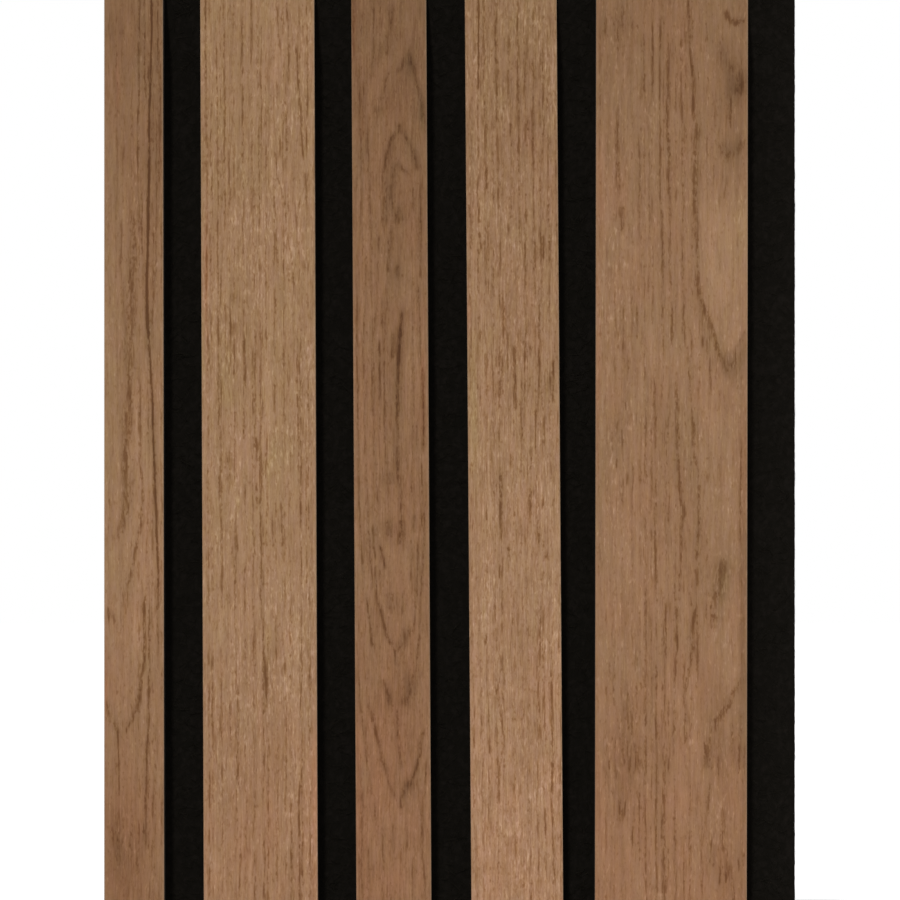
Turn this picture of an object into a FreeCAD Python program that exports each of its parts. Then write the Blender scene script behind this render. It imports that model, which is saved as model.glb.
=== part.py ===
import FreeCAD, Part
import math
import os

# Acoustic slat wall panel: oak faced MDF bars of several widths, stapled to a sheet of felt.
# The board hangs upright: +Z runs along the bars, -Y is the oak face, +Y is the wall side.
# The origin is the centre of the felt's back face, where the board meets the wall.
# All sizes are millimetres.

# Felt sheet
panel_height = 320.0      # cut length of the felt and of every bar
felt_thickness = 9.0
bare_margin = 16.5        # felt left bare to the right of the last bar

# Bars, from left to right, measured at mid height
bar_widths = [19.8, 38.0, 25.0, 30.6, 50.6]
groove_widths = [12.8, 12.6, 13.1, 11.9]
bar_leans = [0.08, 0.23, 0.33, 0.42, -0.08]   # degrees that the top leans to the left
core_thickness = 11.4     # dyed MDF
veneer_thickness = 0.6    # oak
face_arris = 0.2          # sanded bevel along the veneer's long edges
back_arris = 0.5          # bevel along the core's long back edges

# Staples, shot from the back through the felt into the bars
staple_rows = 3
staple_columns = [1, 1, 1, 1, 2]   # in each bar, from left to right
staple_end_distance = 40.0         # first and last row, from the ends of the board
crown_width = 5.8                  # over both legs
wire_width = 1.25
wire_thickness = 1.0
bend_radius = 0.8                  # outside of the two bends
point_length = 1.2                 # chisel point of each leg
crown_depth = 0.3                  # the crown is pulled this far into the felt
point_cover = 2.1                  # MDF left between a leg's point and the veneer

# Places that follow from the sizes
half_height = panel_height / 2
panel_width = sum(bar_widths) + sum(groove_widths) + bare_margin
left_side = -panel_width / 2
felt_front = -felt_thickness
core_front = felt_front - core_thickness
veneer_front = core_front - veneer_thickness
crown_back = -crown_depth
crown_front = crown_back - wire_thickness
leg_tip = core_front + point_cover


def bar_left(index):
    """Left edge of a bar at mid height."""
    return left_side + sum(bar_widths[:index]) + sum(groove_widths[:index])


def drift(index):
    """How far a bar moves sideways over half the board's height, because it leans."""
    return half_height * math.tan(math.radians(bar_leans[index]))


def prism(points, direction):
    """A closed outline of points, filled and carried along one direction."""
    corners = [FreeCAD.Vector(*point) for point in points]
    return Part.Face(Part.makePolygon(corners + corners[:1])).extrude(direction)


def bar_layer(index, back, front, back_bevel, front_bevel):
    """One layer of a bar: its section at the lower end, carried up the leaning bar.

    The first bar is sawn flush with the side of the felt, so it starts wider and is cut."""
    flush = index == 0
    spare = 2 * abs(drift(index)) if flush else 0.0
    left = bar_left(index) + drift(index) - spare
    right = bar_left(index) + bar_widths[index] + drift(index)
    section = [(left, back - back_bevel), (left + back_bevel, back), (right - back_bevel, back),
               (right, back - back_bevel), (right, front + front_bevel), (right - front_bevel, front),
               (left + front_bevel, front), (left, front + front_bevel)]
    outline = [point for at, point in enumerate(section) if point != section[at - 1]]
    layer = prism([(x, y, -half_height) for x, y in outline],
                  FreeCAD.Vector(-2 * drift(index), 0, panel_height))
    if flush:
        layer = layer.common(felt_outline(front, back))
    return layer


def felt_outline(front, back):
    """The rectangle of the felt sheet, from one depth to another."""
    right_side = left_side + panel_width
    corners = [(left_side, back, -half_height), (right_side, back, -half_height),
               (right_side, back, half_height), (left_side, back, half_height)]
    return prism(corners, FreeCAD.Vector(0, front - back, 0))


def staple_places():
    """Centre (x, z) of every staple, on the leaning centre lines of the bars."""
    row_pitch = (panel_height - 2 * staple_end_distance) / (staple_rows - 1)
    places = []
    for index, columns in enumerate(staple_columns):
        for row in range(staple_rows):
            z = -half_height + staple_end_distance + row * row_pitch
            for column in range(columns):
                across = bar_widths[index] * (column + 0.5) / columns
                places.append((bar_left(index) + across - drift(index) * z / half_height, z))
    return places


def staple_form(x, z, back, rounded):
    """A bent wire staple: crown along the bar, two legs that end in chisel points.

    Its outline in the YZ plane is carried across by the width of the wire."""
    outer = crown_width / 2
    inner = outer - wire_thickness
    middle = outer - wire_thickness / 2
    shoulder = leg_tip + point_length
    half = [(outer, back), (outer, shoulder), (middle, leg_tip), (inner, shoulder), (inner, crown_front)]
    outline = half + [(-across, y) for across, y in reversed(half)]
    form = prism([(x - wire_width / 2, y, z + across) for across, y in outline],
                 FreeCAD.Vector(wire_width, 0, 0))
    if rounded:
        bends = [edge for edge in form.Edges
                 if edge.BoundBox.XLength > wire_width / 2 and edge.BoundBox.YMax > back - wire_thickness / 2]
        form = form.makeFillet(bend_radius, bends)
    return form


def staple(x, z):
    return staple_form(x, z, crown_back, True)


def staple_cut(x, z):
    """What a staple takes out of the felt and the core: its legs, and its dent in the back."""
    return staple_form(x, z, 0.0, False)


def felt_backing(cuts):
    return felt_outline(felt_front, 0.0).cut(cuts)


def slat_core(index, cuts):
    return bar_layer(index, felt_front, core_front, back_arris, 0.0).cut(cuts)


def slat_veneer(index):
    return bar_layer(index, core_front, veneer_front, 0.0, face_arris)


def write(name, shape):
    shape.exportStep(os.path.join("parts", name + ".step"))
    print(name, len(shape.Solids), "solids, valid", shape.isValid())


os.makedirs("parts", exist_ok=True)
places = staple_places()
cuts = [staple_cut(x, z) for x, z in places]
write("felt_backing", felt_backing(cuts))
for index in range(len(bar_widths)):
    write(f"slat_core_{index + 1}", slat_core(index, cuts))
    write(f"slat_veneer_{index + 1}", slat_veneer(index))
write("staples", Part.makeCompound([staple(x, z) for x, z in places]))
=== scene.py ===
import math

import bpy
import numpy as np
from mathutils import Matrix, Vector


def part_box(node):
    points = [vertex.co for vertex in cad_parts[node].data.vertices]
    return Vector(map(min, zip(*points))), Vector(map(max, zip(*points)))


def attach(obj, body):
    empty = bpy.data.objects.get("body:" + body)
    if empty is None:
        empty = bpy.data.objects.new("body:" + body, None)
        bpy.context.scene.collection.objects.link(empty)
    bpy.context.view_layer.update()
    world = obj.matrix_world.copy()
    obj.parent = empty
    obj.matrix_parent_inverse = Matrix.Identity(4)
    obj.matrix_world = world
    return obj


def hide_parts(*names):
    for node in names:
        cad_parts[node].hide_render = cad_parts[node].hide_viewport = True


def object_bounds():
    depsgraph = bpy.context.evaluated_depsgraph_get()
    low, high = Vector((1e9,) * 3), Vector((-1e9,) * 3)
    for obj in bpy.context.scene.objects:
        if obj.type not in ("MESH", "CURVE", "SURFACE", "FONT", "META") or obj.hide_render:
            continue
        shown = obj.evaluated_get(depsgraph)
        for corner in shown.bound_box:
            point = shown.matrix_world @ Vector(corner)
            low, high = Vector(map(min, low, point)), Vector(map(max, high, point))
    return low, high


# Acoustic slat wall panel: five oak faced bars on black felt, stapled from the back.
# Lengths in the dictionaries are millimetres. The scene itself is in metres: x across, y towards the
# wall, z along the bars. "Across" and "along" are millimetres from a bar's left edge and above mid height.

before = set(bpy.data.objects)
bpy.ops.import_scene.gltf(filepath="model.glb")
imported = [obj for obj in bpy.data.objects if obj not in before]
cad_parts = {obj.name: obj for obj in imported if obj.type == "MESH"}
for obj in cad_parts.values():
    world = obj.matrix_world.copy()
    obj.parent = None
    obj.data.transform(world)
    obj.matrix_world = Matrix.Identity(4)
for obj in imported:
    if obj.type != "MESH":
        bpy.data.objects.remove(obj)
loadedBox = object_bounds()
mm = 0.001


# Noise, worked out for whole arrays at once

def hashed(i, j, seed):
    # h = fract(43758.5453 sin(12.9898 i + 78.233 j + 37.719 seed)), an even spread from 0 to 1
    value = np.sin(i * 12.9898 + j * 78.233 + seed * 37.719) * 43758.5453
    return value - np.floor(value)


def smoothNoise(u, v, seed):
    # hashed values on a lattice, joined by s(t) = t^2 (3 - 2 t) in both directions; 0 to 1
    i, j = np.floor(u), np.floor(v)
    s, t = u - i, v - j
    s, t = s * s * (3 - 2 * s), t * t * (3 - 2 * t)
    low = hashed(i, j, seed) * (1 - s) + hashed(i + 1, j, seed) * s
    high = hashed(i, j + 1, seed) * (1 - s) + hashed(i + 1, j + 1, seed) * s
    return low * (1 - t) + high * t


def layeredNoise(u, v, seed, layers=3):
    # sum of 0.5^k (noise(2^k u, 2^k v) - 0.5), divided by the sum of 0.5^(k + 1); -1 to 1
    total, reach = 0, 0
    for k in range(layers):
        total = total + 0.5 ** k * (smoothNoise(2 ** k * u, 2 ** k * v, seed + k) - 0.5)
        reach += 0.5 ** (k + 1)
    return total / reach


def drift(across, along, waves, seed):
    # sum of amount noise(across / width, along / length) over the waves; each wave is (amount, width,
    # length, step of the seed, layers)
    field = 0
    for amount, width, length, step, layers in waves:
        field = field + amount * layeredNoise(across / width, along / length, seed + step, layers)
    return field


def between(limits, share):
    # from the first limit at 0 to the second at 1
    return limits[0] + (limits[1] - limits[0]) * share


# Meshes from arrays

def meshObject(name, points, groups, sharpAngle=35):
    # points in metres; each group is an array with one face per row, its corners anticlockwise from
    # outside; edges that turn by more than sharpAngle degrees stay sharp
    corners = np.concatenate([group.ravel() for group in groups]).astype(np.int32)
    sizes = np.concatenate([np.full(len(group), group.shape[1], np.int32) for group in groups])
    mesh = bpy.data.meshes.new(name)
    mesh.vertices.add(len(points))
    mesh.vertices.foreach_set("co", points.astype(np.float32).ravel())
    mesh.loops.add(len(corners))
    mesh.loops.foreach_set("vertex_index", corners)
    mesh.polygons.add(len(sizes))
    mesh.polygons.foreach_set("loop_start", (np.cumsum(sizes) - sizes).astype(np.int32))
    mesh.polygons.foreach_set("use_smooth", np.ones(len(sizes), bool))
    mesh.update(calc_edges=True)
    mesh.set_sharp_from_angle(angle=math.radians(sharpAngle))
    made = bpy.data.objects.new(name, mesh)
    bpy.context.scene.collection.objects.link(made)
    return made


def sweptRings(name, rings, sharpAngle=35):
    # rings[k, i, j] is point j of ring i of tube k; each ring is joined to the next, both ends are closed
    index = np.arange(rings[..., 0].size).reshape(rings.shape[:3])
    after = np.roll(index, -1, axis=2)
    sides = np.stack([index[:, :-1], after[:, :-1], after[:, 1:], index[:, 1:]], axis=-1)
    groups = [sides.reshape(-1, 4), index[:, 0, ::-1], index[:, -1]]
    return meshObject(name, rings.reshape(-1, 3), groups, sharpAngle)


def giveAttribute(made, name, values):
    # one number for each point of the mesh, for its material to read
    attribute = made.data.attributes.new(name, "FLOAT", "POINT")
    attribute.data.foreach_set("value", values.astype(np.float32).ravel())


def finishPiece(made, material, slot, *nodes):
    # material, and the CAD nodes that the piece stands for
    made.data.materials.append(material)
    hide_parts(*nodes)
    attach(made, "root")
    print(made.name, len(made.data.polygons), "faces")


# Materials from nodes

def linear(code):
    # "#rrggbb" in sRGB to linear light: c / 12.92 up to 0.04045, else ((c + 0.055) / 1.055)^2.4
    shares = [int(code[at:at + 2], 16) / 255 for at in (1, 3, 5)]
    return [c / 12.92 if c <= 0.04045 else ((c + 0.055) / 1.055) ** 2.4 for c in shares] + [1.0]


def addNode(tree, kind, inputs=(), **settings):
    # a node with its settings and links: an input, by its place or its name, is a value, another node's
    # output, or another node, which stands for its first output
    made = tree.nodes.new("ShaderNode" + kind)
    made.location = (200 * len(tree.nodes), 0)
    for key, value in settings.items():
        setattr(made, key, value)
    for key, value in inputs.items() if isinstance(inputs, dict) else enumerate(inputs):
        if isinstance(value, bpy.types.Node):
            value = value.outputs[0]
        if isinstance(value, bpy.types.NodeSocket):
            tree.links.new(value, made.inputs[key])
        else:
            made.inputs[key].default_value = value
    return made


def newMaterial(name, roughness, specular, metallic=0.0):
    # a material with these values on its surface node, and its tree, for colours and relief to be added
    material = bpy.data.materials.new(name)
    material.use_nodes = True
    surface = material.node_tree.nodes["Principled BSDF"]
    surface.inputs["Roughness"].default_value = roughness
    surface.inputs["Specular IOR Level"].default_value = specular
    surface.inputs["Metallic"].default_value = metallic
    return material, material.node_tree, surface


def patternNoise(tree, spacing, detail):
    # noise in the object's own coordinates; spacing is how far apart its spots lie along x, y and z, in mm
    place = addNode(tree, "TexCoord").outputs["Object"]
    scale = [1 / (mm * step) for step in spacing]
    scaled = addNode(tree, "VectorMath", [place, scale], operation="MULTIPLY")
    return addNode(tree, "TexNoise", {"Vector": scaled, "Scale": 1.0, "Detail": detail})


def coverSurface(tree, surface, colour, height, relief):
    # the surface's colour, and its relief as a bump; relief is (how deep in mm, strength)
    bump = addNode(tree, "Bump", {"Height": height, "Distance": relief[0] * mm, "Strength": relief[1]})
    tree.links.new(colour, surface.inputs["Base Color"])
    tree.links.new(bump.outputs[0], surface.inputs["Normal"])


# Oak veneer

oak = {
    "columnStep": 0.25,     # mesh of the face, across the bar
    "rowStep": 0.8,         # and along it
    "arris": 0.2,           # sanded bevel along both long edges
    "poreDepth": 0.05,
    "ground": "#9C7859",
    "red": "#A27354",
    "olive": "#967A50",
    "edge": "#93806B",      # greyer wood along the sanded edges
    "edgeLeft": (0.25, 0.25),       # its share and how far it reaches in
    "edgeRight": (0.55, 0.3),
    "roughness": 0.62,
    "specular": 0.2,
    "relief": (0.03, 0.7),
    "reliefPores": -0.6,
    "reliefFine": 0.3,
    "detail": 2.0,
    "broad": (1.3, 5.0, 22.0),      # noises: how far apart their spots lie along x, y and z
    "narrow": (0.52, 3.0, 8.0),     # bundles of fibres, as single ones are too fine to show
    "fine": (0.5, 2.0, 1.1),
    "strokes": (0.6, 2.0, 5.0),     # pores cut along and across, drawn about twice as coarse as real ones
    "dots": (0.6, 2.0, 1.5),
    "glints": (0.75, 3.0, 3.0),
    "clouds": (1.3, 4.0, 5.0),
    "broadShare": 0.35,     # how much each noise changes the lightness
    "narrowShare": 0.46,
    "fineShare": 0.24,
    "cloudShare": 0.36,     # how much the clouds change the yellow
    "poreShare": 0.34,      # how much the pores drawn on the mesh lift the noises of pores
    "poreRange": (0.6, 0.82),       # noise where a pore starts and where it is full
    "poreDark": (0.22, 0.5),        # how dark the faintest and the strongest pores are
    "fleckShare": 0.28,
    "fleckRange": (0.64, 0.84),
    "fleckGain": 0.36,
    "shadeBrown": (1.12, 1.4),      # powers that turn green and blue browner where the wood is darker
    "figureBrown": (1.28, 1.72),
    "poreBrown": (1.42, 2.1),
}


def soaked(tree, colour, share, powers):
    # red times the share, green and blue times powers of it, as wood turns browner where it is darker
    factors = [share] + [addNode(tree, "Math", [share, power], operation="POWER") for power in powers]
    return addNode(tree, "VectorMath", [colour, addNode(tree, "CombineXYZ", factors)], operation="MULTIPLY")


def oakMaterial():
    # Oak veneer under a dull lacquer. The eye sees a warm brown ground, dark dashes where pores are cut
    # open, pale flecks of ray cells, and slow drifts between reddish and olive brown.
    material, tree, surface = newMaterial("oak veneer", oak["roughness"], oak["specular"])
    fields = {name: addNode(tree, "Attribute", attribute_name=name).outputs["Fac"]
              for name in ("pore", "fleck", "shade", "tint", "edge", "grain")}
    noises = {name: patternNoise(tree, oak[name], oak["detail"])
              for name in ("broad", "narrow", "fine", "strokes", "dots", "glints", "clouds")}

    # colour from olive over the ground to red, its yellow clouded by noise about 1
    tint = addNode(tree, "ValToRGB", [fields["tint"]])
    ramp = tint.color_ramp.elements
    ramp[0].color, ramp[1].color = linear(oak["olive"]), linear(oak["red"])
    ramp.new(0.5).color = linear(oak["ground"])
    share = oak["cloudShare"]
    blue = addNode(tree, "Math", [noises["clouds"], share, 1 - share / 2], operation="MULTIPLY_ADD")
    yellow = addNode(tree, "CombineXYZ", [1.0, 1.0, blue])
    colour = addNode(tree, "VectorMath", [tint, yellow], operation="MULTIPLY")

    # pores: two noises, cut off at a level that the drawn pores lower
    marks = []
    for noise in (noises["strokes"], noises["dots"]):
        level = addNode(tree, "Math", [fields["pore"], oak["poreShare"], noise], operation="MULTIPLY_ADD")
        marks.append(addNode(tree, "MapRange", [level, *oak["poreRange"]]))
    faintest, strongest = oak["poreDark"]
    deepest = addNode(tree, "Math", [fields["pore"], oak["poreShare"], faintest], operation="MULTIPLY_ADD")
    deepest = addNode(tree, "Math", [deepest, strongest], operation="MINIMUM")
    pores = addNode(tree, "Math", marks, operation="MAXIMUM")
    pores = addNode(tree, "Math", [pores, deepest], operation="MULTIPLY")

    # figure: 1 + grain (narrow and fine noise) + broad noise, each about 0, brighter at the flecks
    middle = -(oak["narrowShare"] + oak["fineShare"]) / 2
    grain = addNode(tree, "Math", [noises["fine"], oak["fineShare"], middle], operation="MULTIPLY_ADD")
    grain = addNode(tree, "Math", [noises["narrow"], oak["narrowShare"], grain], operation="MULTIPLY_ADD")
    share = oak["broadShare"]
    figure = addNode(tree, "Math", [noises["broad"], share, 1 - share / 2], operation="MULTIPLY_ADD")
    figure = addNode(tree, "Math", [grain, fields["grain"], figure], operation="MULTIPLY_ADD")
    level = [fields["fleck"], oak["fleckShare"], noises["glints"]]
    level = addNode(tree, "Math", level, operation="MULTIPLY_ADD")
    flecks = addNode(tree, "MapRange", [level, *oak["fleckRange"], 1.0, 1.0 + oak["fleckGain"]])
    figure = addNode(tree, "Math", [figure, flecks], operation="MULTIPLY")

    # the shade field is the wood's own lightness plus painted shade, darker towards the upper end of most
    # bars
    colour = soaked(tree, colour, fields["shade"], oak["shadeBrown"])
    colour = soaked(tree, colour, figure, oak["figureBrown"])
    clear = addNode(tree, "Math", [1.0, pores], operation="SUBTRACT")
    colour = soaked(tree, colour, clear, oak["poreBrown"])
    worn = addNode(tree, "Mix", {0: fields["edge"], 6: colour, 7: linear(oak["edge"])}, data_type="RGBA")
    height = addNode(tree, "Math", [pores, oak["reliefPores"]], operation="MULTIPLY")
    height = addNode(tree, "Math", [noises["fine"], oak["reliefFine"], height], operation="MULTIPLY_ADD")
    coverSurface(tree, surface, worn.outputs[2], height, oak["relief"])
    return material


# What is drawn on each slat:
# "grain", "dashes" and "fleck" say how strong fine grain, scattered pores and pale flecks are, and "halo"
# how much the wood darkens around a drawn line. "shade" and "tint" are (along, value), for lightness and
# for colour, which is olive at 0 and red at 1; "shade" holds each bar's own tone together with painted shade
# that makes most bars darker towards their upper end. "open" is (across, value), how open the pores are.
# "rings" is the spacing of the growth rings and their heart as (along, across, depth under the face).
# "pale", "smudges" and "tints" are patches as (amount, across, along, half across, half along): flecks,
# darkening and redness. "lines" are dark grain lines as (strength, half width, points (across, along)).
# A pale zone is cleared of pores and lightened inside an outline of (along, left, right).

# Narrow bar, flush with the left side: one long dark line and a few bent ones below
slatOne = {
    "seed": 11, "grain": 0.85, "dashes": 0.05, "halo": 0.18, "fleck": 0.35,
    "shade": [(-160, 0.74), (-120, 0.78), (-40, 0.97), (40, 0.89), (120, 0.7), (160, 0.67)],
    "tint": [(-160, 0.64), (-90, 0.6), (-50, 0.52), (0, 0.48), (80, 0.54), (160, 0.56)],
    "open": [(0, 0.35), (8, 0.4), (14, 0.7), (20, 0.6)],
    "rings": {"spacing": 3.4, "heart": [(-160, -30, 0), (-100, -26, 6), (0, -22, 12), (160, -34, 10)]},
    "pale": [(0.25, 5, -128, 4, 16), (0.35, 11, 85, 1.5, 25)],
    "smudges": [
        (0.1, 4.2, 140, 2.3, 8), (0.2, 14.9, 38, 1, 6), (0.12, 2.5, -55, 1.4, 1.6),
        (-0.11, 10.5, -5, 3.2, 45), (0.1, 17, -10, 1.3, 45), (0.09, 17.4, 105, 1.5, 60),
        (0.1, 12.5, 135, 1.2, 14), (-0.07, 11, 105, 1.2, 14), (-0.14, 12, -62, 3, 11),
        (-0.1, 17, -110, 2.2, 32), (-0.12, 12.1, 113, 0.5, 7), (-0.1, 10.4, 95, 0.6, 4),
        (-0.12, 11.4, 66, 0.6, 5), (0.07, 4, -130, 4, 22), (0.12, 4.2, -130, 1, 6.5),
        (0.1, 8.2, -143, 2.4, 7), (0.09, 10.5, -134, 4.5, 9), (0.1, 4, -140, 2, 9),
        (0.14, 13.4, -128, 0.7, 5),
    ],
    "tints": [
        (0.25, 4.6, 120, 0.6, 9), (-0.15, 2, 20, 3, 45), (0.22, 8, -135, 9, 30), (0.3, 0.5, -80, 0.6, 16),
    ],
    "lines": [
        # long dark line near the right edge, from the upper end down, and a faint one beside it
        (1.2, 0.27, [(15.8, 160), (15.9, 140), (15.6, 127), (15.2, 117), (15.1, 99)]),
        (1.35, 0.4, [(15.2, 104), (14.9, 90), (14.5, 80), (14.3, 67), (14.1, 50), (14.9, 35)]),
        (0.98, 0.36, [(14.8, 40), (15.6, 27), (16.1, 17), (16.6, 0), (16.9, -13), (17.6, -27),
            (18.1, -40), (18.3, -53)]),
        (0.45, 0.3, [(18.6, 137), (18.4, 110), (18.3, 87)]),
        # wide bent line left of the middle, and the lines that follow it
        (0.78, 1.3, [(8.9, 67), (8.9, 50), (8.6, 33), (8.4, 17), (7.7, 3), (6.9, -7), (7.8, -15),
            (6.9, -22), (5.3, -27), (2.9, -32)]),
        (0.55, 0.6, [(11.9, 23), (11.9, -3), (12.5, -13), (12.3, -25), (11.3, -31), (9.9, -38),
            (7.9, -45), (7.3, -55)]),
        (0.39, 0.3, [(14.6, 33), (14.9, 0), (14.6, -23), (13.9, -50)]),
        # lower bend, from both sides
        (0.72, 0.6, [(13.6, -47), (13.4, -70), (12.3, -78), (11.3, -85), (8.9, -91), (5.9, -96)]),
        (0.5, 1, [(0.3, -83), (0.9, -86), (2.6, -91), (4.9, -95)]),
        (0.65, 0.3, [(4.6, -91), (4.8, -103), (4.9, -115)]),
        # thin lines along the right and at the upper end
        (0.65, 0.4, [(15.1, -49), (14.9, -90), (14.1, -100), (13.9, -117), (13.9, -133)]),
        (0.52, 0.3, [(17.9, -37), (17.9, -67)]), (0.33, 0.3, [(16.8, -92), (16.8, -150)]),
        (0.65, 0.3, [(11.9, 160), (11.6, 127), (11.3, 103), (11.3, 87)]),
        (0.52, 0.3, [(13.6, 160), (13.6, 113)]), (0.52, 0.9, [(9.3, 80), (9.9, 63), (9.6, 47)]),
        (0.52, 0.3, [(12.6, 88), (12.3, 63)]), (0.39, 0.3, [(5.6, 78), (5.6, 47)]),
        (0.59, 0.3, [(17.9, 160), (18.1, 125)]), (0.39, 0.3, [(17.6, 115), (17.3, 83), (16.9, 53)]),
        # short marks, and a darker part of the long line
        (0.6, 0.4, [(1.3, -52), (1.6, -57)]), (0.6, 0.4, [(3.3, -54), (3.5, -58)]),
        (1, 0.5, [(14.1, 55), (14.5, 44), (14.9, 37)]),
        # pores near the lower end
        (0.5, 0.35, [(2.6, -125), (3.3, -133)]), (0.5, 0.35, [(8.9, -127), (8.6, -133)]),
        (0.5, 0.35, [(13.3, -124), (12.9, -131)]), (0.5, 0.35, [(11.3, -135), (10.9, -142)]),
        (0.45, 0.8, [(3.9, -121), (4.6, -130), (6.6, -139)]),
    ],
}

# Wide bar: many short pores in upright rows, with pale flecks between them
slatTwo = {
    "seed": 22, "grain": 1, "dashes": 0.09, "halo": 0.08, "fleck": 0.85,
    "shade": [(-160, 0.96), (-110, 0.98), (-40, 1.03), (120, 0.98), (160, 0.97)],
    "tint": [(-160, 0.6), (-100, 0.53), (-60, 0.46), (160, 0.42)],
    "open": [(0, 0.66), (38, 0.76)],
    "rings": {"spacing": 3.1, "heart": [(-160, -60, 0), (0, -60, 6), (160, -57, 0)]},
    "pale": [
        (0.32, 16, 6, 1.1, 3.5), (0.32, 12, -9, 1, 2.5), (0.28, 11.3, -23, 1.2, 3),
        (0.3, 24, -35, 0.6, 3.5), (0.25, 22, -5, 0.8, 4),
    ],
    "smudges": [
        (-0.1, 22, 5, 2.6, 48), (-0.05, 28.5, 20, 3, 140), (0.05, 16, 120, 4, 30),
        (-0.08, 25, -135, 5, 20), (0.06, 24, 33, 3, 6), (0.05, 21.5, -77, 2, 9),
    ],
    "tints": [
        (-0.16, 23.5, -5, 2.5, 9), (-0.14, 7.3, 23, 3, 10), (0.3, 1.6, 55, 0.7, 34),
        (0.3, 37.2, -115, 1.2, 36), (0.1, 20, -120, 20, 40),
    ],
    "lines": [
        # upper half, from left to right
        (0.5, 0.35, [(1.9, 160), (1.7, 120), (1.7, 100), (1.9, 83), (1.8, 50), (1.7, 20)]),
        (0.6, 0.3, [(5.3, 140), (5.5, 110), (5.6, 90), (5.5, 63), (5.8, 50)]),
        (0.6, 0.38, [(7.9, 121), (7.9, 106)]),
        (0.5, 0.35, [(5.5, 48), (5.6, 17), (6.3, -3), (6.3, -17), (6.5, -50)]),
        (0.5, 0.35, [(7.9, 160), (7.9, 123), (7.8, 93), (7.9, 70)]),
        (0.5, 0.35, [(13.9, 143), (13.9, 123)]), (0.62, 0.33, [(13.9, 123), (13.8, 108), (14, 93)]),
        (0.5, 0.35, [(14, 91), (13.9, 63)]), (0.35, 0.3, [(17.1, 160), (17.1, 130)]),
        (0.4, 0.3, [(19.2, 160), (19, 117)]), (0.45, 0.35, [(17.6, 95), (17.5, 50)]),
        (0.4, 0.3, [(19.4, 112), (19.5, 50)]), (0.45, 0.3, [(25.5, 160), (25.8, 140), (26.6, 132)]),
        (0.45, 0.3, [(25, 100), (25.6, 91), (26.9, 87), (27.9, 82), (28.9, 70), (30.2, 63), (31.2, 50)]),
        (0.4, 0.3, [(28.1, 125), (28.4, 113), (28.8, 102)]),
        (0.62, 0.32, [(31.4, 137), (32.3, 127), (33, 117), (33.5, 109), (34, 100), (34.6, 95)]),
        (0.5, 0.3, [(34.8, 93), (35.6, 80)]), (0.55, 0.35, [(28.6, 113), (28.7, 107)]),
        (0.5, 0.35, [(29, 104), (29.1, 99)]), (0.5, 0.35, [(26.7, 105), (26.8, 97)]),
        (0.55, 0.4, [(25.4, 123), (25.4, 117)]), (0.35, 0.3, [(33.9, 160), (34.1, 135)]),
        (0.4, 0.3, [(24.6, 82), (25.2, 67), (26.5, 50)]), (0.4, 0.3, [(31.6, 82), (32.2, 70), (33.5, 53)]),
        # around mid height
        (0.5, 0.35, [(7.8, 50), (7.8, 27)]), (0.5, 0.35, [(10.5, 50), (10.5, 17)]),
        (0.75, 0.4, [(14, 40), (14.3, 21)]), (0.5, 0.35, [(17.8, 50), (17.7, 3), (18, -3), (18.1, -18)]),
        (0.8, 0.7, [(18, 5), (18.2, -5)]), (0.6, 0.3, [(19.6, 50), (19.4, -17), (19.5, -57)]),
        (0.6, 0.3, [(31.9, 35), (32, -7)]), (0.4, 0.3, [(34.7, 10), (34.8, -50)]),
        (0.4, 0.4, [(26.3, -15), (26.9, -37)]), (0.4, 0.4, [(21.3, 3), (21.6, -23)]),
        (0.5, 0.7, [(8.3, 1), (8.6, -11)]), (0.6, 0.4, [(5.3, 46), (5.4, 33)]),
        (0.55, 0.4, [(13.8, 33), (13.9, 23)]), (0.6, 0.4, [(5.4, 27), (5.4, 19)]),
        (0.6, 0.45, [(18, -10), (18.3, -20)]), (0.6, 0.4, [(5.6, -7), (5.9, -17)]),
        (0.5, 0.4, [(10.9, -28), (11.6, -34)]), (0.55, 0.4, [(19.5, 2), (19.5, -15)]),
        (0.5, 0.35, [(32.4, 30), (33.1, 19)]), (0.5, 0.35, [(21.6, -15), (21.9, -21)]),
        (0.5, 0.4, [(18.2, -35), (18.4, -41)]), (0.45, 0.3, [(23.3, -20), (23.9, -37)]),
        (0.5, 0.35, [(9.6, -32), (11.2, -50)]), (0.4, 0.3, [(3.2, -30), (3.5, -50)]),
        # lower half
        (0.55, 0.35, [(3.1, -68), (3.2, -83), (3.3, -103)]), (0.65, 0.3, [(6.1, -73), (6, -97)]),
        (0.5, 0.35, [(9.1, -83), (9.2, -97)]), (0.5, 0.4, [(11.7, -77), (11.6, -110), (11.9, -117)]),
        (0.9, 0.45, [(20.4, -68), (21.1, -77), (21.5, -86)]),
        (0.45, 0.35, [(21.7, -90), (21.6, -137), (21.5, -160)]),
        (0.4, 0.3, [(24.7, -88), (24.9, -117), (24.5, -160)]), (0.5, 0.35, [(27.7, -82), (27.6, -112)]),
        (0.65, 0.35, [(32, -108), (31.9, -127), (32.1, -160)]), (0.4, 0.3, [(29.3, -120), (29.2, -140)]),
        (0.4, 0.3, [(32.8, -50), (33.1, -65)]), (0.5, 0.35, [(12.3, -125), (12.1, -160)]),
        (0.4, 0.35, [(17.1, -57), (17.7, -83)]),
    ],
}

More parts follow.
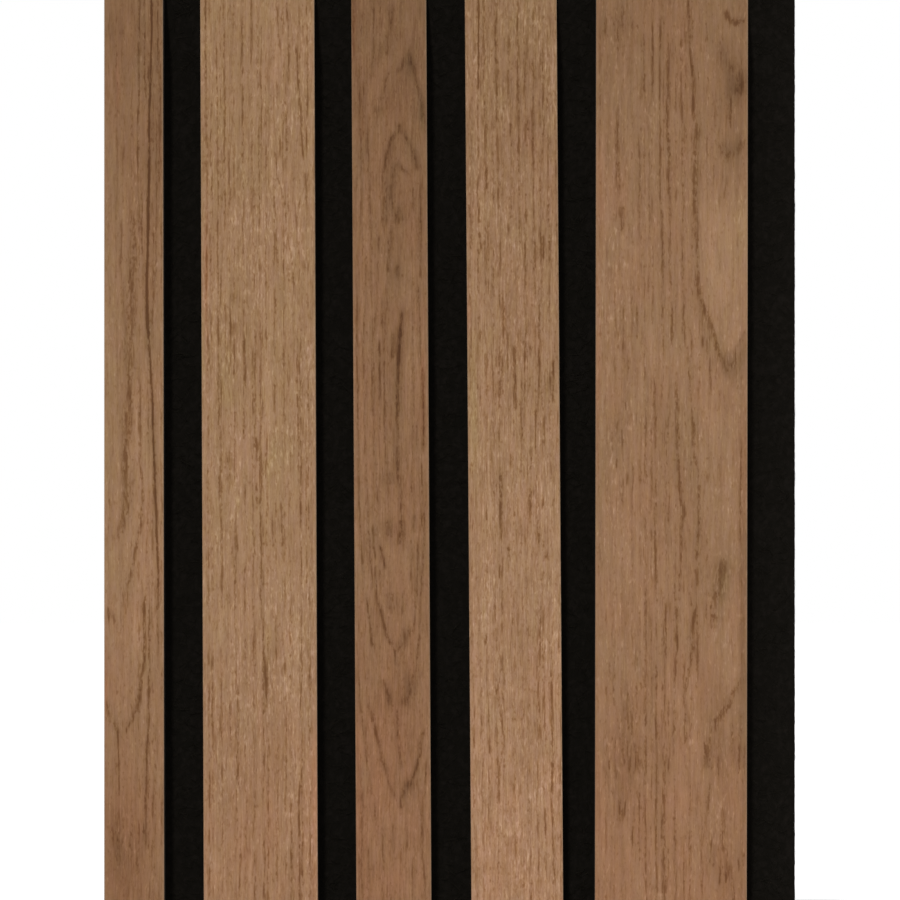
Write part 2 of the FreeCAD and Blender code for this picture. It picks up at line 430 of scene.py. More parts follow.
# Dark bar: a narrow eye in the middle, with nested arcs above and below it
slatThree = {
    "seed": 33, "grain": 1.2, "dashes": 0.05, "halo": 0.38, "fleck": 0.25,
    "shade": [(-160, 0.81), (-40, 0.765), (40, 0.745), (120, 0.61), (160, 0.59)],
    "tint": [(-160, 0.72), (-60, 0.66), (0, 0.64), (160, 0.62)],
    "open": [(0, 0.3), (25, 0.25)],
    "rings": {"spacing": 3.6, "heart": [
        (-160, 15.5, 30), (-60, 15.5, 12), (17, 15.5, 0), (90, 15.5, 12), (160, 15.5, 26)]},
    "pale": [],
    "smudges": [
        (-0.09, 3.5, 20, 3.5, 130), (-0.09, 8, 110, 2.5, 40), (0.06, 14.5, 100, 3.5, 32),
        (0.27, 19.3, 129, 1.7, 5), (0.08, 15, 119, 3, 9), (0.08, 12, 85, 1.2, 9), (0.07, 17.5, 46, 1.5, 9),
        (0.1, 12.8, 87, 1.5, 5), (0.09, 21.2, 97, 1.4, 4.5), (0.1, 13.5, 58, 1.6, 4),
        (0.1, 14, 33, 1.7, 9), (-0.06, 19, 22, 1.6, 25), (0.15, 11.6, -82, 1.5, 4),
        (0.16, 17.8, -79, 2, 5), (0.18, 17.6, -113, 2.3, 2.8), (0.1, 12.3, -9, 1.4, 3.5),
        (0.1, 16.8, -62, 1.6, 3.5), (0.09, 11.6, -26, 1.2, 3), (-0.08, 21.5, 25, 3, 20),
        (0.05, 15, -85, 4, 30), (0.16, 23.5, 112, 0.8, 5.5), (0.05, 15, 60, 3, 18), (0.05, 15, 20, 4, 22),
    ],
    "tints": [
        (0.3, 0.6, 142, 0.8, 9), (0.3, 23.2, 20, 0.7, 18), (0.18, 12, -110, 13, 50),
        (0.12, 15.3, 117, 4, 9), (0.25, 0.8, -110, 1, 20), (-0.25, 23.3, 112, 1, 6),
    ],
    "lines": [
        # above the arches
        (0.41, 0.5, [(0.7, 160), (0.3, 134)]), (0.41, 0.33, [(7.3, 160), (7.2, 133), (7, 125)]),
        (0.49, 0.61, [(13.4, 149), (13.2, 144), (13.1, 139)]), (0.31, 0.6, [(12.2, 140), (12, 131)]),
        (0.29, 0.3, [(3.1, 147), (3, 133)]), (0.29, 0.5, [(4.2, 124), (3.9, 109)]),
        # first arch: its tip and both sides
        (0.57, 0.7, [(18.7, 133), (20, 129), (21, 126)]),
        (0.5, 0.49, [(20.4, 128), (22, 122), (22.8, 117), (23.1, 112)]),
        (0.5, 0.7, [(18.4, 131), (16.3, 127), (14.7, 126)]),
        (0.37, 0.4, [(13.3, 127), (11.7, 124), (10.6, 119), (8.6, 115)]),
        (0.45, 0.8, [(9, 115), (7.8, 112)]), (0.45, 0.9, [(23, 117), (23.4, 109)]),
        # second arch
        (0.57, 0.6, [(15.6, 109), (15.9, 105)]),
        (0.5, 0.49, [(16.2, 107), (12.9, 104), (11.7, 100), (11.1, 95), (10.3, 91)]),
        (0.47, 0.49, [(15.9, 107), (17.6, 105), (19.4, 101)]),
        (0.47, 0.49, [(10.3, 93), (10.6, 87), (10.5, 81), (10, 75)]),
        (0.48, 0.33, [(11.3, 88), (11.3, 75)]),
        # small arch inside it, and the lines below
        (0.54, 0.51, [(14.5, 96), (16.2, 94), (18.5, 92)]),
        (0.49, 0.54, [(15.1, 96), (14, 94), (13.5, 90)]), (0.45, 0.7, [(12.8, 89), (12.7, 83)]),
        (0.39, 0.3, [(13.4, 91), (13.4, 75)]), (0.56, 0.46, [(14.9, 80), (14.6, 75)]),
        (0.56, 0.46, [(15.7, 82), (15.6, 75)]), (0.5, 0.46, [(16.2, 79), (17, 76)]),
        (0.41, 0.6, [(20.5, 101), (21.8, 93)]), (0.37, 0.3, [(20.3, 88), (20.4, 79)]),
        # between the arches and the eye
        (0.45, 0.33, [(8.9, 72), (8.8, 65)]), (0.43, 0.5, [(12.3, 71), (11.9, 58)]),
        (0.5, 0.36, [(13.2, 75), (12.9, 66)]), (0.49, 0.51, [(15.1, 62), (15.1, 57)]),
        (0.41, 0.3, [(9.6, 51), (9.6, 40)]), (0.54, 0.3, [(8.9, 37), (8.7, 15)]),
        (0.41, 0.3, [(6.5, 44), (6.2, 10)]), (0.49, 0.6, [(13.2, 39), (13.2, 30)]),
        # the eye, from its upper to its lower end
        (0.6, 0.54, [(16.3, 47), (15.8, 41), (15.6, 39)]),
        (0.89, 0.55, [(15.7, 42), (15.4, 34), (15, 27)]),
        (0.69, 0.59, [(15.1, 31), (14.7, 21), (14.5, 16), (14.4, 9)]),
        (0.54, 0.54, [(14.4, 11), (14.7, 5), (14.7, -4)]), (0.69, 0.5, [(14.7, 2), (14.7, -8)]),
        (0.56, 0.51, [(14.8, -7), (15.4, -17), (15.5, -25)]), (0.69, 0.66, [(15.5, -23), (15.5, -29)]),
        (0.54, 0.4, [(15.1, -27), (15, -32)]), (0.41, 1.4, [(12.2, -7), (12.3, -12)]),
        (0.49, 0.9, [(11.1, -23), (11.1, -29)]),
        # at both sides of it
        (0.59, 0.36, [(23.2, 28), (23.3, -1)]), (0.49, 0.36, [(22.7, -3), (22.4, -27)]),
        (0.41, 0.3, [(21.1, 11), (21, -1)]), (0.52, 0.4, [(20.1, -21), (19.9, -28)]),
        (0.37, 0.3, [(19, -29), (18.7, -45)]), (0.49, 0.32, [(21, -29), (20.8, -50), (19.6, -61)]),
        (0.54, 0.33, [(5.8, -25), (6.1, -32), (7.1, -37)]), (0.49, 0.33, [(6.7, -38), (7.5, -51)]),
        (0.59, 0.36, [(8.2, -31), (9.2, -35), (10.3, -40)]), (0.41, 0.9, [(12.5, -47), (12.6, -54)]),
        (0.39, 0.3, [(16.1, -47), (16.1, -55)]),
        # first of the arches below
        (0.54, 0.51, [(7.3, -49), (8.8, -55), (10.9, -62), (13.4, -67)]),
        (0.52, 0.85, [(18.9, -59), (16.4, -64), (13.8, -67)]),
        (0.49, 0.36, [(3.5, -47), (5.1, -59), (6, -67)]), (0.54, 0.4, [(13.5, -66), (13.9, -72)]),
        (0.45, 0.8, [(20.3, -73), (19.2, -81)]),
        # second and third
        (0.54, 0.72, [(8.7, -76), (11, -81), (12.4, -86)]),
        (0.49, 0.85, [(20, -74), (18, -81), (15.3, -86)]), (0.47, 0.32, [(14.1, -86), (13.9, -97)]),
        (0.47, 0.33, [(14.2, -98), (15, -107)]),
        (0.54, 0.51, [(3.8, -82), (5.5, -89), (7.4, -97), (8.9, -103), (10.4, -109)]),
        (0.39, 0.4, [(10.2, -109), (11.8, -113), (13.8, -117)]),
        (0.59, 0.45, [(22.8, -92), (21.5, -101), (19.8, -107), (17.5, -113)]),
        (0.62, 0.85, [(18.6, -110), (16.5, -113)]), (0.41, 0.5, [(16.8, -113), (14.6, -117)]),
        (0.45, 0.33, [(14.8, -116), (15.1, -120)]), (0.41, 0.36, [(6.1, -116), (6.4, -124)]),
        # under the arches
        (0.39, 0.3, [(8.9, -127), (9, -141)]), (0.36, 0.3, [(16.7, -125), (17, -133)]),
        (0.31, 0.3, [(12.4, -124), (12.4, -134)]), (0.39, 0.3, [(2, -112), (1.6, -160)]),
        (0.31, 0.3, [(1.1, -129), (0.9, -160)]), (0.45, 0.4, [(21.8, -117), (22, -133), (23, -148)]),
        # faint lines that pass round the eye and the arches
        (0.41, 0.3, [(1.4, 72), (1.3, 50), (1.3, 10), (1.6, -23), (3.1, -50)]),
        (0.41, 0.3, [(4.4, 67), (3.5, 33), (3.7, 0), (4.6, -30), (6.5, -50)]),
        (0.39, 0.3, [(7.6, 50), (6.8, 23), (7, 0), (7.9, -23)]),
        (0.37, 0.3, [(11, 50), (10.2, 27), (10.4, 3), (11.3, -17)]),
        (0.35, 0.3, [(19.6, 50), (20.2, 23), (19.7, 0), (18.3, -23)]), (0.41, 0.3, [(22, 57), (22.5, 27)]),
        (0.39, 0.3, [(23.7, -7), (22.9, -37), (21.4, -63), (19.3, -83)]),
        (0.37, 0.3, [(0.7, -63), (1.6, -83), (3.5, -103), (5.5, -117)]),
        (0.36, 0.3, [(23.5, -103), (23.1, -117)]),
        (0.39, 0.3, [(2.7, 130), (2.6, 110), (3.2, 90), (2.4, 70)]),
        (0.36, 0.3, [(4.9, 110), (5.5, 90), (6.1, 70), (6, 50)]), (0.31, 0.3, [(9.5, 160), (9.4, 130)]),
        (0.41, 0.34, [(22.8, 90), (22.7, 73), (22.5, 55)]), (0.36, 0.3, [(4.1, -130), (3.9, -160)]),
        (0.36, 0.3, [(18.7, -136), (18.6, -160)]),
    ],
}

# Finely speckled bar, paler towards its lower end
slatFour = {
    "seed": 44, "grain": 1.4, "dashes": 0.13, "halo": 0.05, "fleck": 0.8,
    "shade": [(-160, 1.14), (-120, 1.12), (-40, 1.07), (40, 0.96), (120, 0.88), (160, 0.86)],
    "tint": [(-160, 0.66), (-60, 0.54), (0, 0.5), (160, 0.46)],
    "open": [(0, 0.6), (30, 0.7)],
    "rings": {"spacing": 2.6, "heart": [(-160, -50, 0), (0, -52, 4), (160, -49, 0)]},
    "pale": [],
    "smudges": [
        (-0.08, 4.5, 60, 2.5, 90), (0.06, 20, 120, 6, 30), (0.04, 17, -80, 5, 50), (0.08, 20.7, 106, 2, 5),
        (0.12, 10.7, -12.3, 1.2, 6), (0.12, 10.9, -24.7, 1.1, 5), (0.12, 20.7, -17, 1.3, 4),
        (0.14, 27.8, 22, 1, 4), (-0.1, 7.5, -21, 0.9, 4), (-0.08, 17.9, -19, 1.2, 5), (-0.07, 16, 1, 2, 4),
        (0.08, 10.5, -46, 1.5, 6),
    ],
    "tints": [(-0.25, 2, 15, 1.6, 26), (0.3, 0.6, 45, 0.8, 5), (0.2, 20.7, 106, 2.5, 6)],
    "lines": [
        # around mid height
        (0.45, 0.3, [(9.5, 35), (9.5, 26)]), (0.42, 0.3, [(10.7, 35), (10.6, 16)]),
        (0.42, 0.3, [(11.7, 34), (11.6, 17)]), (0.6, 0.5, [(15.7, 35), (15.7, 28)]),
        (0.6, 0.34, [(15.9, 27), (15.9, 13)]), (0.5, 0.34, [(17.4, 17), (17.5, 10)]),
        (0.6, 0.4, [(17.9, 8), (17.9, 3)]), (0.55, 0.34, [(19.1, 36), (19, 28)]),
        (0.5, 0.34, [(21, 35), (21, 31)]), (0.5, 0.34, [(20.7, 25), (20.6, 19)]),
        (0.6, 0.34, [(23.9, 34), (24, 28)]), (0.5, 0.34, [(24, 49), (23.9, 37)]),
        (0.5, 0.34, [(24.9, 21), (24.9, 14)]), (0.55, 0.34, [(22.7, 15), (22.5, 3)]),
        (0.55, 0.4, [(21.2, 1), (21.1, -7)]), (0.6, 0.6, [(27.8, 25), (27.8, 19)]),
        (0.6, 0.36, [(3.5, 22), (3.4, 20)]), (0.55, 0.4, [(8.7, 10), (8.7, 4)]),
        (0.5, 0.36, [(14.1, -1), (14.1, -6)]), (0.6, 0.5, [(10.8, -7), (10.7, -18)]),
        (0.55, 0.5, [(10.8, -20), (10.8, -29)]), (0.55, 0.36, [(9.2, -10), (9.2, -14)]),
        (0.6, 0.6, [(20.7, -13), (20.6, -21)]), (0.6, 0.4, [(20.2, -22), (20.2, -24)]),
        (0.6, 0.36, [(24.9, -16), (24.8, -20)]), (0.6, 0.4, [(23.3, -25), (23.3, -31)]),
        (0.5, 0.36, [(5.8, -20), (5.8, -24)]), (0.45, 0.3, [(15.2, -18), (15.2, -23)]),
        (0.45, 0.3, [(17.8, -25), (17.8, -29)]), (0.75, 0.6, [(25.8, -34), (25.7, -36)]),
        (0.5, 0.34, [(12.6, 50), (12.6, 39)]), (0.45, 0.3, [(6.2, 30), (6.1, 19)]),
        (0.4, 0.3, [(13.6, 40), (13.5, 26)]),
        # upper half, from left to right
        (1.2, 0.24, [(4.6, 160), (4.3, 117)]), (0.3, 0.22, [(4.4, 117), (4.3, 93)]),
        (0.62, 0.35, [(3.9, 84), (4.3, 75)]), (0.6, 0.42, [(4.1, 73), (5.1, 65)]),
        (0.5, 0.42, [(6.4, 160), (6.3, 132), (6.4, 117), (6.7, 107), (6.7, 87)]),
        (0.62, 0.42, [(6.6, 109), (6.6, 101)]), (0.62, 0.42, [(6.5, 94), (6.7, 86)]),
        (0.55, 0.4, [(10.2, 160), (10.3, 135), (10.6, 121), (10.6, 110), (10.6, 93), (10.8, 77)]),
        (0.45, 0.35, [(14.6, 144), (14.4, 116)]),
        (0.5, 0.4, [(17.9, 160), (17.5, 129), (17.6, 118), (17.7, 103), (17.2, 89)]),
        (0.45, 0.4, [(19.9, 132), (19.8, 117)]), (0.4, 0.42, [(20.7, 111), (20.6, 101)]),
        (0.5, 0.4, [(22.2, 131), (22.1, 125)]), (0.5, 0.4, [(22.1, 115), (22.4, 107), (22.5, 93)]),
        (0.45, 0.35, [(25.9, 134), (26, 110), (25.6, 93)]),
        # shorter ones below them
        (0.4, 0.42, [(7.2, 77), (7, 48)]), (0.4, 0.4, [(11.1, 71), (11, 56)]),
        (0.45, 0.4, [(19.5, 74), (19.4, 59)]), (0.5, 0.4, [(22.8, 71), (22.7, 53)]),
        (0.6, 0.4, [(25.5, 72), (25.4, 63)]), (0.5, 0.42, [(14.1, 76), (14.1, 71)]),
        # around mid height again
        (0.6, 0.42, [(4.3, 41), (4.2, 37)]), (0.45, 0.35, [(6.5, 34), (6.4, 16)]),
        (0.45, 0.35, [(8.5, 33), (8.4, 15)]), (0.45, 0.35, [(10.5, 34), (10.3, 3)]),
        (0.6, 0.35, [(12.3, 52), (12.2, 36)]), (0.5, 0.4, [(15.5, 35), (15.4, 13)]),
        (0.5, 0.4, [(17.6, 17), (17.5, 1)]), (0.45, 0.4, [(19.2, 37), (19.1, 16)]),
        (0.45, 0.35, [(24.3, 44), (23.8, 20), (22.4, 7), (22.9, -7)]), (0.4, 0.4, [(25.4, 12), (25.3, 1)]),
        (0.6, 0.42, [(28.5, 31), (28.4, 15)]), (0.62, 0.42, [(10.9, -12), (10.5, -23), (11.1, -31)]),
        (0.5, 0.42, [(8.6, -9), (8.5, -16)]), (0.62, 0.42, [(13.4, -32), (13.4, -36)]),
        (0.62, 0.42, [(25.8, -33), (25.7, -37)]), (0.5, 0.42, [(20.5, -16), (20.5, -25)]),
        (0.62, 0.42, [(10.4, -38), (10.4, -43)]), (0.5, 0.4, [(23.1, -27), (23.1, -31)]),
        # lower half
        (0.62, 0.42, [(5.6, -61), (5.5, -65)]),
        (0.5, 0.4, [(9.6, -63), (10.5, -73), (9.4, -80), (11.3, -97), (9.6, -107), (9.8, -121)]),
        (0.5, 0.4, [(15, -49), (14.9, -59)]),
        (0.55, 0.35, [(23.6, -53), (23.5, -70), (22.8, -80), (23.6, -101)]),
        (0.6, 0.4, [(27.2, -71), (27.1, -90), (27.2, -117), (27.4, -145)]),
        (0.4, 0.4, [(15.3, -106), (14.6, -114)]),
    ],
}

# Widest bar: mottled on the left, upright rows in the middle, a pale arch at the right
slatFive = {
    "seed": 55, "grain": 0.75, "dashes": 0.03, "halo": 0.14, "fleck": 0.5,
    "shade": [(-160, 0.89), (40, 0.88), (80, 0.86), (120, 0.77), (160, 0.74)],
    "tint": [(-160, 0.78), (-110, 0.72), (-50, 0.6), (0, 0.55), (160, 0.54)],
    "open": [(0, 0.4), (12, 0.5), (17, 0.62), (34, 0.62), (39, 0.25), (51, 0.15)],
    "rings": {"spacing": 3.3, "heart": [
        (-160, 44, 27), (-50, 44, 20), (27, 44, 12.3), (45, 44, 9.9), (55, 44, 7.6), (85, 44, 2),
        (100, 44, 0), (160, 46, 0)]},
    "pale": [
        (0.4, 7.5, -104, 4.5, 12), (0.28, 7, -24, 5, 14), (0.35, 11.5, 8, 2.5, 12), (0.25, 6, 70, 5, 60),
        (0.4, 42, -45, 2.5, 10), (0.3, 35, 5, 1.2, 10), (0.35, 41.5, -125, 3, 12),
    ],
    "smudges": [
        (0.08, 47, 100, 4, 50), (-0.08, 24, -145, 5, 20), (0.1, 49.5, -60, 1.5, 60),
        (0.14, 49.5, -55, 2, 75), (-0.08, 19.5, 85, 2.6, 30), (-0.07, 28, 130, 2.5, 22),
        (0.08, 8, -108, 5, 14), (-0.06, 20, -130, 2.5, 20), (0.07, 41, -45, 3.5, 12),
        (0.05, 38, -90, 5, 20), (0.13, 49.5, 30, 2, 6), (0.27, 44.4, 29, 2.4, 4.2),
        (0.12, 41.5, 40, 1.2, 7), (0.08, 10, -88, 2.6, 12), (0.08, 11.5, -106, 3, 8),
        (0.07, 9, -118, 2, 5), (0.07, 8, -100, 6, 12), (0.08, 43, -142, 4, 7), (0.07, 7.5, 88, 3, 16),
        (0.1, 44.5, 122, 1.6, 6), (0.1, 37.5, -104, 1.6, 5), (0.1, 43, -105, 4, 22),
        (0.1, 49.8, -106, 1.6, 16), (0.14, 42.8, -43, 1.8, 8), (0.08, 10.5, 20, 3, 14),
        (0.24, 47.6, 123, 3.2, 6), (0.2, 43, 131, 2.4, 6), (0.1, 45, 118, 4.5, 7), (0.1, 1.8, 142, 1.5, 6),
        (0.08, 9.5, 142, 2.5, 9), (0.12, 45.5, 101, 3.5, 3),
    ],
    "tints": [
        (0.22, 1.5, 88, 1.6, 18), (0.15, 8, 85, 3, 12), (-0.25, 42.8, -43, 2, 8), (0.2, 10, -106, 3.5, 10),
        (-0.18, 1, -10, 1.4, 30), (0.12, 49.6, -10, 1.5, 24), (-0.15, 49.6, -95, 1.6, 12),
        (-0.1, 44, 60, 6, 24), (0.06, 30, 100, 10, 60), (-0.08, 49.5, 30, 2, 6), (0.25, 0.8, 20, 0.7, 40),
    ],
    "lines": [
        # mottle at the lower left
        (0.44, 0.32, [(5.7, -93), (6, -97)]), (0.44, 0.32, [(7, -95), (6.7, -100)]),
        (0.44, 0.32, [(8.7, -93), (9, -98)]), (0.44, 0.32, [(10.7, -97), (11.1, -103)]),
        (0.44, 0.32, [(12.7, -95), (13.1, -101)]), (0.44, 0.32, [(14.4, -98), (14.6, -108)]),
        (0.44, 0.32, [(4.7, -103), (5.1, -107)]), (0.44, 0.32, [(7.4, -105), (7.1, -110)]),
        (0.44, 0.32, [(12.1, -107), (11.7, -112)]), (0.44, 0.32, [(13.7, -112), (14.1, -117)]),
        (0.44, 0.32, [(5.8, -113), (6.1, -117)]), (0.44, 0.32, [(9.1, -112), (9.4, -116)]),
        (0.44, 0.32, [(3.4, -105), (3.7, -109)]), (0.44, 0.32, [(8.1, -119), (8.4, -123)]),
        (0.44, 0.32, [(10.1, -102), (9.7, -106)]), (0.44, 0.32, [(3.7, -98), (4.1, -101)]),
        (0.44, 0.32, [(13.1, -118), (13.3, -124)]),
        # and at the lower right
        (0.55, 0.36, [(39.8, -134), (39.5, -140)]), (0.55, 0.36, [(41.8, -137), (41.5, -145)]),
        (0.55, 0.36, [(43.8, -133), (43.6, -141)]), (0.55, 0.36, [(45.5, -139), (45.2, -147)]),
        (0.55, 0.36, [(47.8, -135), (47.8, -141)]), (0.55, 0.36, [(42.5, -129), (42.5, -134)]),
        (0.55, 0.36, [(49.5, -134), (49.3, -139)]),
        # foot of the pale arch
        (0.92, 1.3, [(34.7, 51), (36.7, 46), (38.7, 41), (40.7, 35), (42.1, 32)]),
        (0.58, 0.34, [(42.2, 33), (42.7, 28)]), (0.63, 0.34, [(43.7, 32), (43.9, 26)]),
        (0.58, 0.34, [(45.3, 32), (45.4, 26)]), (0.53, 0.34, [(46.7, 33), (46.9, 28)]),
        (0.6, 0.4, [(35.6, 38), (35.8, 34)]), (0.58, 0.3, [(38.1, 31), (38.1, 23)]),
        (0.43, 0.3, [(23.8, 17), (24.1, -7)]),
        # lower right
        (0.6, 0.32, [(36.9, -51), (37.1, -57)]), (0.6, 0.32, [(38.6, -51), (38.7, -59)]),
        (0.48, 0.32, [(40.1, -49), (40.2, -55)]), (0.6, 0.45, [(36.7, -97), (36.4, -106)]),
        (0.65, 0.32, [(38.2, -111), (37.9, -121)]), (0.58, 0.36, [(41.1, -101), (41.1, -109)]),
        (0.6, 0.36, [(42.2, -118), (42.6, -131)]), (0.6, 0.4, [(43.9, -136), (43.5, -145)]),
        (0.5, 0.34, [(38.9, -130), (38, -139)]), (0.48, 0.3, [(45.7, -91), (45.6, -102)]),
        (0.56, 0.36, [(48.2, -92), (47.9, -108)]), (0.48, 0.32, [(49.7, -98), (49.7, -109)]),
        # lower left
        (0.6, 0.32, [(14.9, -109), (14.7, -139)]), (0.48, 0.34, [(11, -80), (11.2, -95)]),
        (0.48, 0.34, [(12.5, -83), (12.4, -98)]), (0.53, 0.36, [(9, -98), (9.4, -104)]),
        (0.53, 0.36, [(11.7, -101), (11.4, -108)]), (0.48, 0.34, [(13.6, -97), (13.5, -107)]),
        (0.56, 0.36, [(8.1, -116), (8.4, -123)]), (0.56, 0.36, [(10.1, -117), (9.8, -123)]),
        (0.48, 0.36, [(12.6, -125), (12.5, -133)]), (0.4, 0.3, [(6.3, -67), (6.3, -85)]),
        (0.4, 0.3, [(4.8, -70), (4.9, -83)]),
        # left side at mid height
        (0.44, 0.32, [(7.3, 10), (7.3, 5)]), (0.48, 0.32, [(7, 2), (7.1, -7)]),
        (0.48, 0.32, [(9, 7), (9.1, 1)]), (0.44, 0.32, [(10.1, 18), (10.2, 13)]),
        (0.48, 0.32, [(12.6, -5), (12.4, -14)]), (0.44, 0.32, [(10.5, -7), (10.6, -12)]),
        (0.44, 0.32, [(9, -9), (8.9, -19)]), (0.4, 0.32, [(5.4, 7), (5.5, -1)]),
        (0.4, 0.32, [(7.4, 40), (7.4, 33)]), (0.4, 0.32, [(10.9, 31), (10.9, 25)]),
        (0.44, 0.32, [(13.8, 13), (13.8, 9)]),
        # left side, near the upper end
        (0.44, 0.32, [(2.8, 147), (3.1, 138)]), (0.48, 0.4, [(5.2, 145), (6.4, 139)]),
        (0.44, 0.36, [(8.1, 157), (9, 139)]),
        # upright rows of the upper half
        (0.63, 0.36, [(30.6, 160), (30.9, 144), (31.4, 133)]),
        (0.73, 0.5, [(31.3, 135), (31.9, 127), (32.5, 121), (32.4, 115), (32.7, 109)]),
        (0.68, 0.75, [(32.7, 112), (33.1, 108), (33.1, 100), (32.9, 92), (33.1, 85), (33.1, 77),
            (33.7, 69), (33.6, 63), (34.2, 50)]),
        (0.6, 0.36, [(45, 118), (44.9, 107)]), (0.53, 0.33, [(43.6, 92), (42.6, 83)]),
        (0.49, 0.36, [(28.1, 143), (28.3, 126), (28.5, 118), (29, 108), (28.8, 98), (29.1, 85),
            (28.9, 73), (28.8, 50)]),
        (0.55, 0.52, [(24.1, 141), (24.1, 129), (23.7, 106), (24.4, 98), (24.2, 89), (24.8, 81),
            (24.6, 69), (24.7, 50)]),
        (0.53, 0.36, [(21.3, 150), (21.2, 118), (21.5, 102), (21.4, 85), (22.2, 69), (21.9, 50)]),
        (0.6, 0.36, [(18.8, 143), (18.8, 113)]), (0.53, 0.31, [(16, 140), (16.1, 118)]),
        (0.49, 0.36, [(13.8, 143), (13.8, 135)]),
        (0.45, 0.31, [(14.3, 106), (14.7, 94), (14.3, 81), (14.4, 68)]),
        (0.35, 0.27, [(17.7, 102), (17.8, 69), (17.6, 47)]),
        (0.38, 0.44, [(6.8, 150), (7.3, 135), (6.9, 125)]),
        (0.45, 0.65, [(7.4, 114), (7.2, 100), (7.5, 85)]), (0.49, 0.86, [(8.6, 82), (8.6, 72)]),
        # wide marks near the right edge, and thin ones beside them
        (0.78, 0.86, [(43.1, 147), (44.1, 144), (46.1, 142), (48.4, 143), (50.1, 144)]),
        (0.6, 1.1, [(40.5, 136), (42.8, 130), (46.8, 126)]),
        (0.84, 1.7, [(47.5, 127), (48.5, 123), (47.2, 118)]),
        (0.7, 1.3, [(40.9, 103), (43.7, 98), (46.9, 99), (49.9, 104)]),
        (0.49, 0.36, [(36.8, 143), (36.8, 136)]), (0.38, 0.36, [(38.8, 120), (39.7, 104)]),
        (0.38, 0.76, [(43.5, 120), (44.5, 109)]), (0.35, 0.31, [(39.2, 95), (39.2, 87)]),
        # left and right side of the arch, and the dark mark at its foot
        (0.78, 1.2, [(34.2, 57), (34.7, 51), (36.7, 46), (38.7, 41), (40.3, 36), (42, 32), (44.4, 26)]),
        (0.49, 0.44, [(43.7, 27), (46.7, 35), (50, 40)]),
        (0.78, 1.7, [(42.7, 33), (44.4, 29), (45.7, 26)]),
        # upright rows at mid height
        (0.6, 0.44, [(29.4, 51), (29, 40), (31.1, 29), (31.4, 17)]),
        (0.69, 0.44, [(25.3, 51), (25.4, 35)]), (0.49, 0.4, [(22.1, 50), (22.6, 31)]),
        (0.56, 0.57, [(26.2, 24), (27.1, 15), (27.5, 5), (28, -10), (28.8, -21), (28.4, -39),
            (28.1, -51)]),
        (0.55, 0.47, [(19.8, 27), (19.8, 15), (20.3, 2), (20.5, -15), (19.9, -27), (20.4, -51)]),
        (0.53, 0.36, [(16.6, 14), (17.1, -12)]), (0.49, 0.36, [(16.7, -22), (16.7, -31)]),
        (0.62, 0.57, [(32.3, 15), (32.8, 2), (34.4, -10), (34.4, -23), (33.7, -35), (34.1, -51)]),
        (0.49, 0.36, [(13.7, 49), (13.7, 37)]), (0.49, 0.31, [(38.1, 31), (38.1, 19)]),
        (0.6, 0.31, [(48.3, 7), (48.2, -32)]), (0.29, 0.31, [(23.4, 17), (23.6, -50)]),
        # marks and rows of the lower half
        (0.7, 1.3, [(42.9, -36), (41.3, -45), (39.6, -51)]),
        (0.69, 0.44, [(27.3, -51), (27.3, -65), (26.9, -72), (26.5, -83)]),
        (0.63, 0.65, [(33.7, -50), (32.5, -60), (32.5, -66), (31.3, -73), (30.1, -83)]),
        (0.53, 0.31, [(23.2, -68), (23.3, -82), (23.2, -99)]), (0.35, 0.31, [(20.4, -52), (20.4, -65)]),
        (0.35, 0.31, [(16.8, -61), (16.8, -75)]), (0.7, 1.1, [(39.4, -53), (39.4, -60)]),
        (0.7, 1.1, [(48.7, -75), (47.5, -78), (44.3, -85), (40.3, -90), (38.6, -95)]),
        (0.49, 0.97, [(37.8, -95), (37.9, -107)]), (0.41, 1.3, [(11.2, -85), (8.7, -94), (10.4, -100)]),
        (0.45, 1.2, [(8.8, -119), (8.8, -124)]), (0.35, 0.31, [(22.5, -98), (22.6, -132)]),
        (0.49, 0.97, [(42.4, -123), (42.8, -133)]),
        (0.45, 0.97, [(44.1, -137), (45.5, -145), (46.8, -152)]),
        # rows that reach the lower end
        (0.53, 0.38, [(16.7, -37), (16.6, -63), (16.9, -90), (16.8, -117), (17.2, -160)]),
        (0.53, 0.38, [(20.4, -63), (20.4, -90), (20.6, -117), (20.5, -160)]),
        (0.6, 0.43, [(23.6, -50), (23.4, -70)]),
        (0.55, 0.56, [(23.2, -98), (23.1, -117), (23.3, -137), (23.2, -160)]),
        (0.49, 0.38, [(26.3, -83), (25.9, -103)]), (0.49, 0.38, [(26.8, -117), (26.9, -160)]),
        (0.49, 0.38, [(34.1, -50), (34, -80)]), (0.45, 0.38, [(30.3, -83), (30, -98)]),
        (0.45, 0.38, [(31.8, -117), (31.5, -160)]), (0.38, 0.32, [(13.6, -63), (14.1, -103)]),
        (0.38, 0.32, [(35.8, -123), (35.5, -160)]),
    ],
    "paleZone": {"amount": 0.16, "outline": [
        (26, 44.2, 44.8), (32, 42.6, 46), (36, 41.2, 47.6), (41, 39.6, 50.5), (45, 37.6, 53),
        (50, 35.6, 55), (53, 35, 56), (80, 34.2, 56), (92, 34, 56)]},
}

slats = [slatOne, slatTwo, slatThree, slatFour, slatFive]

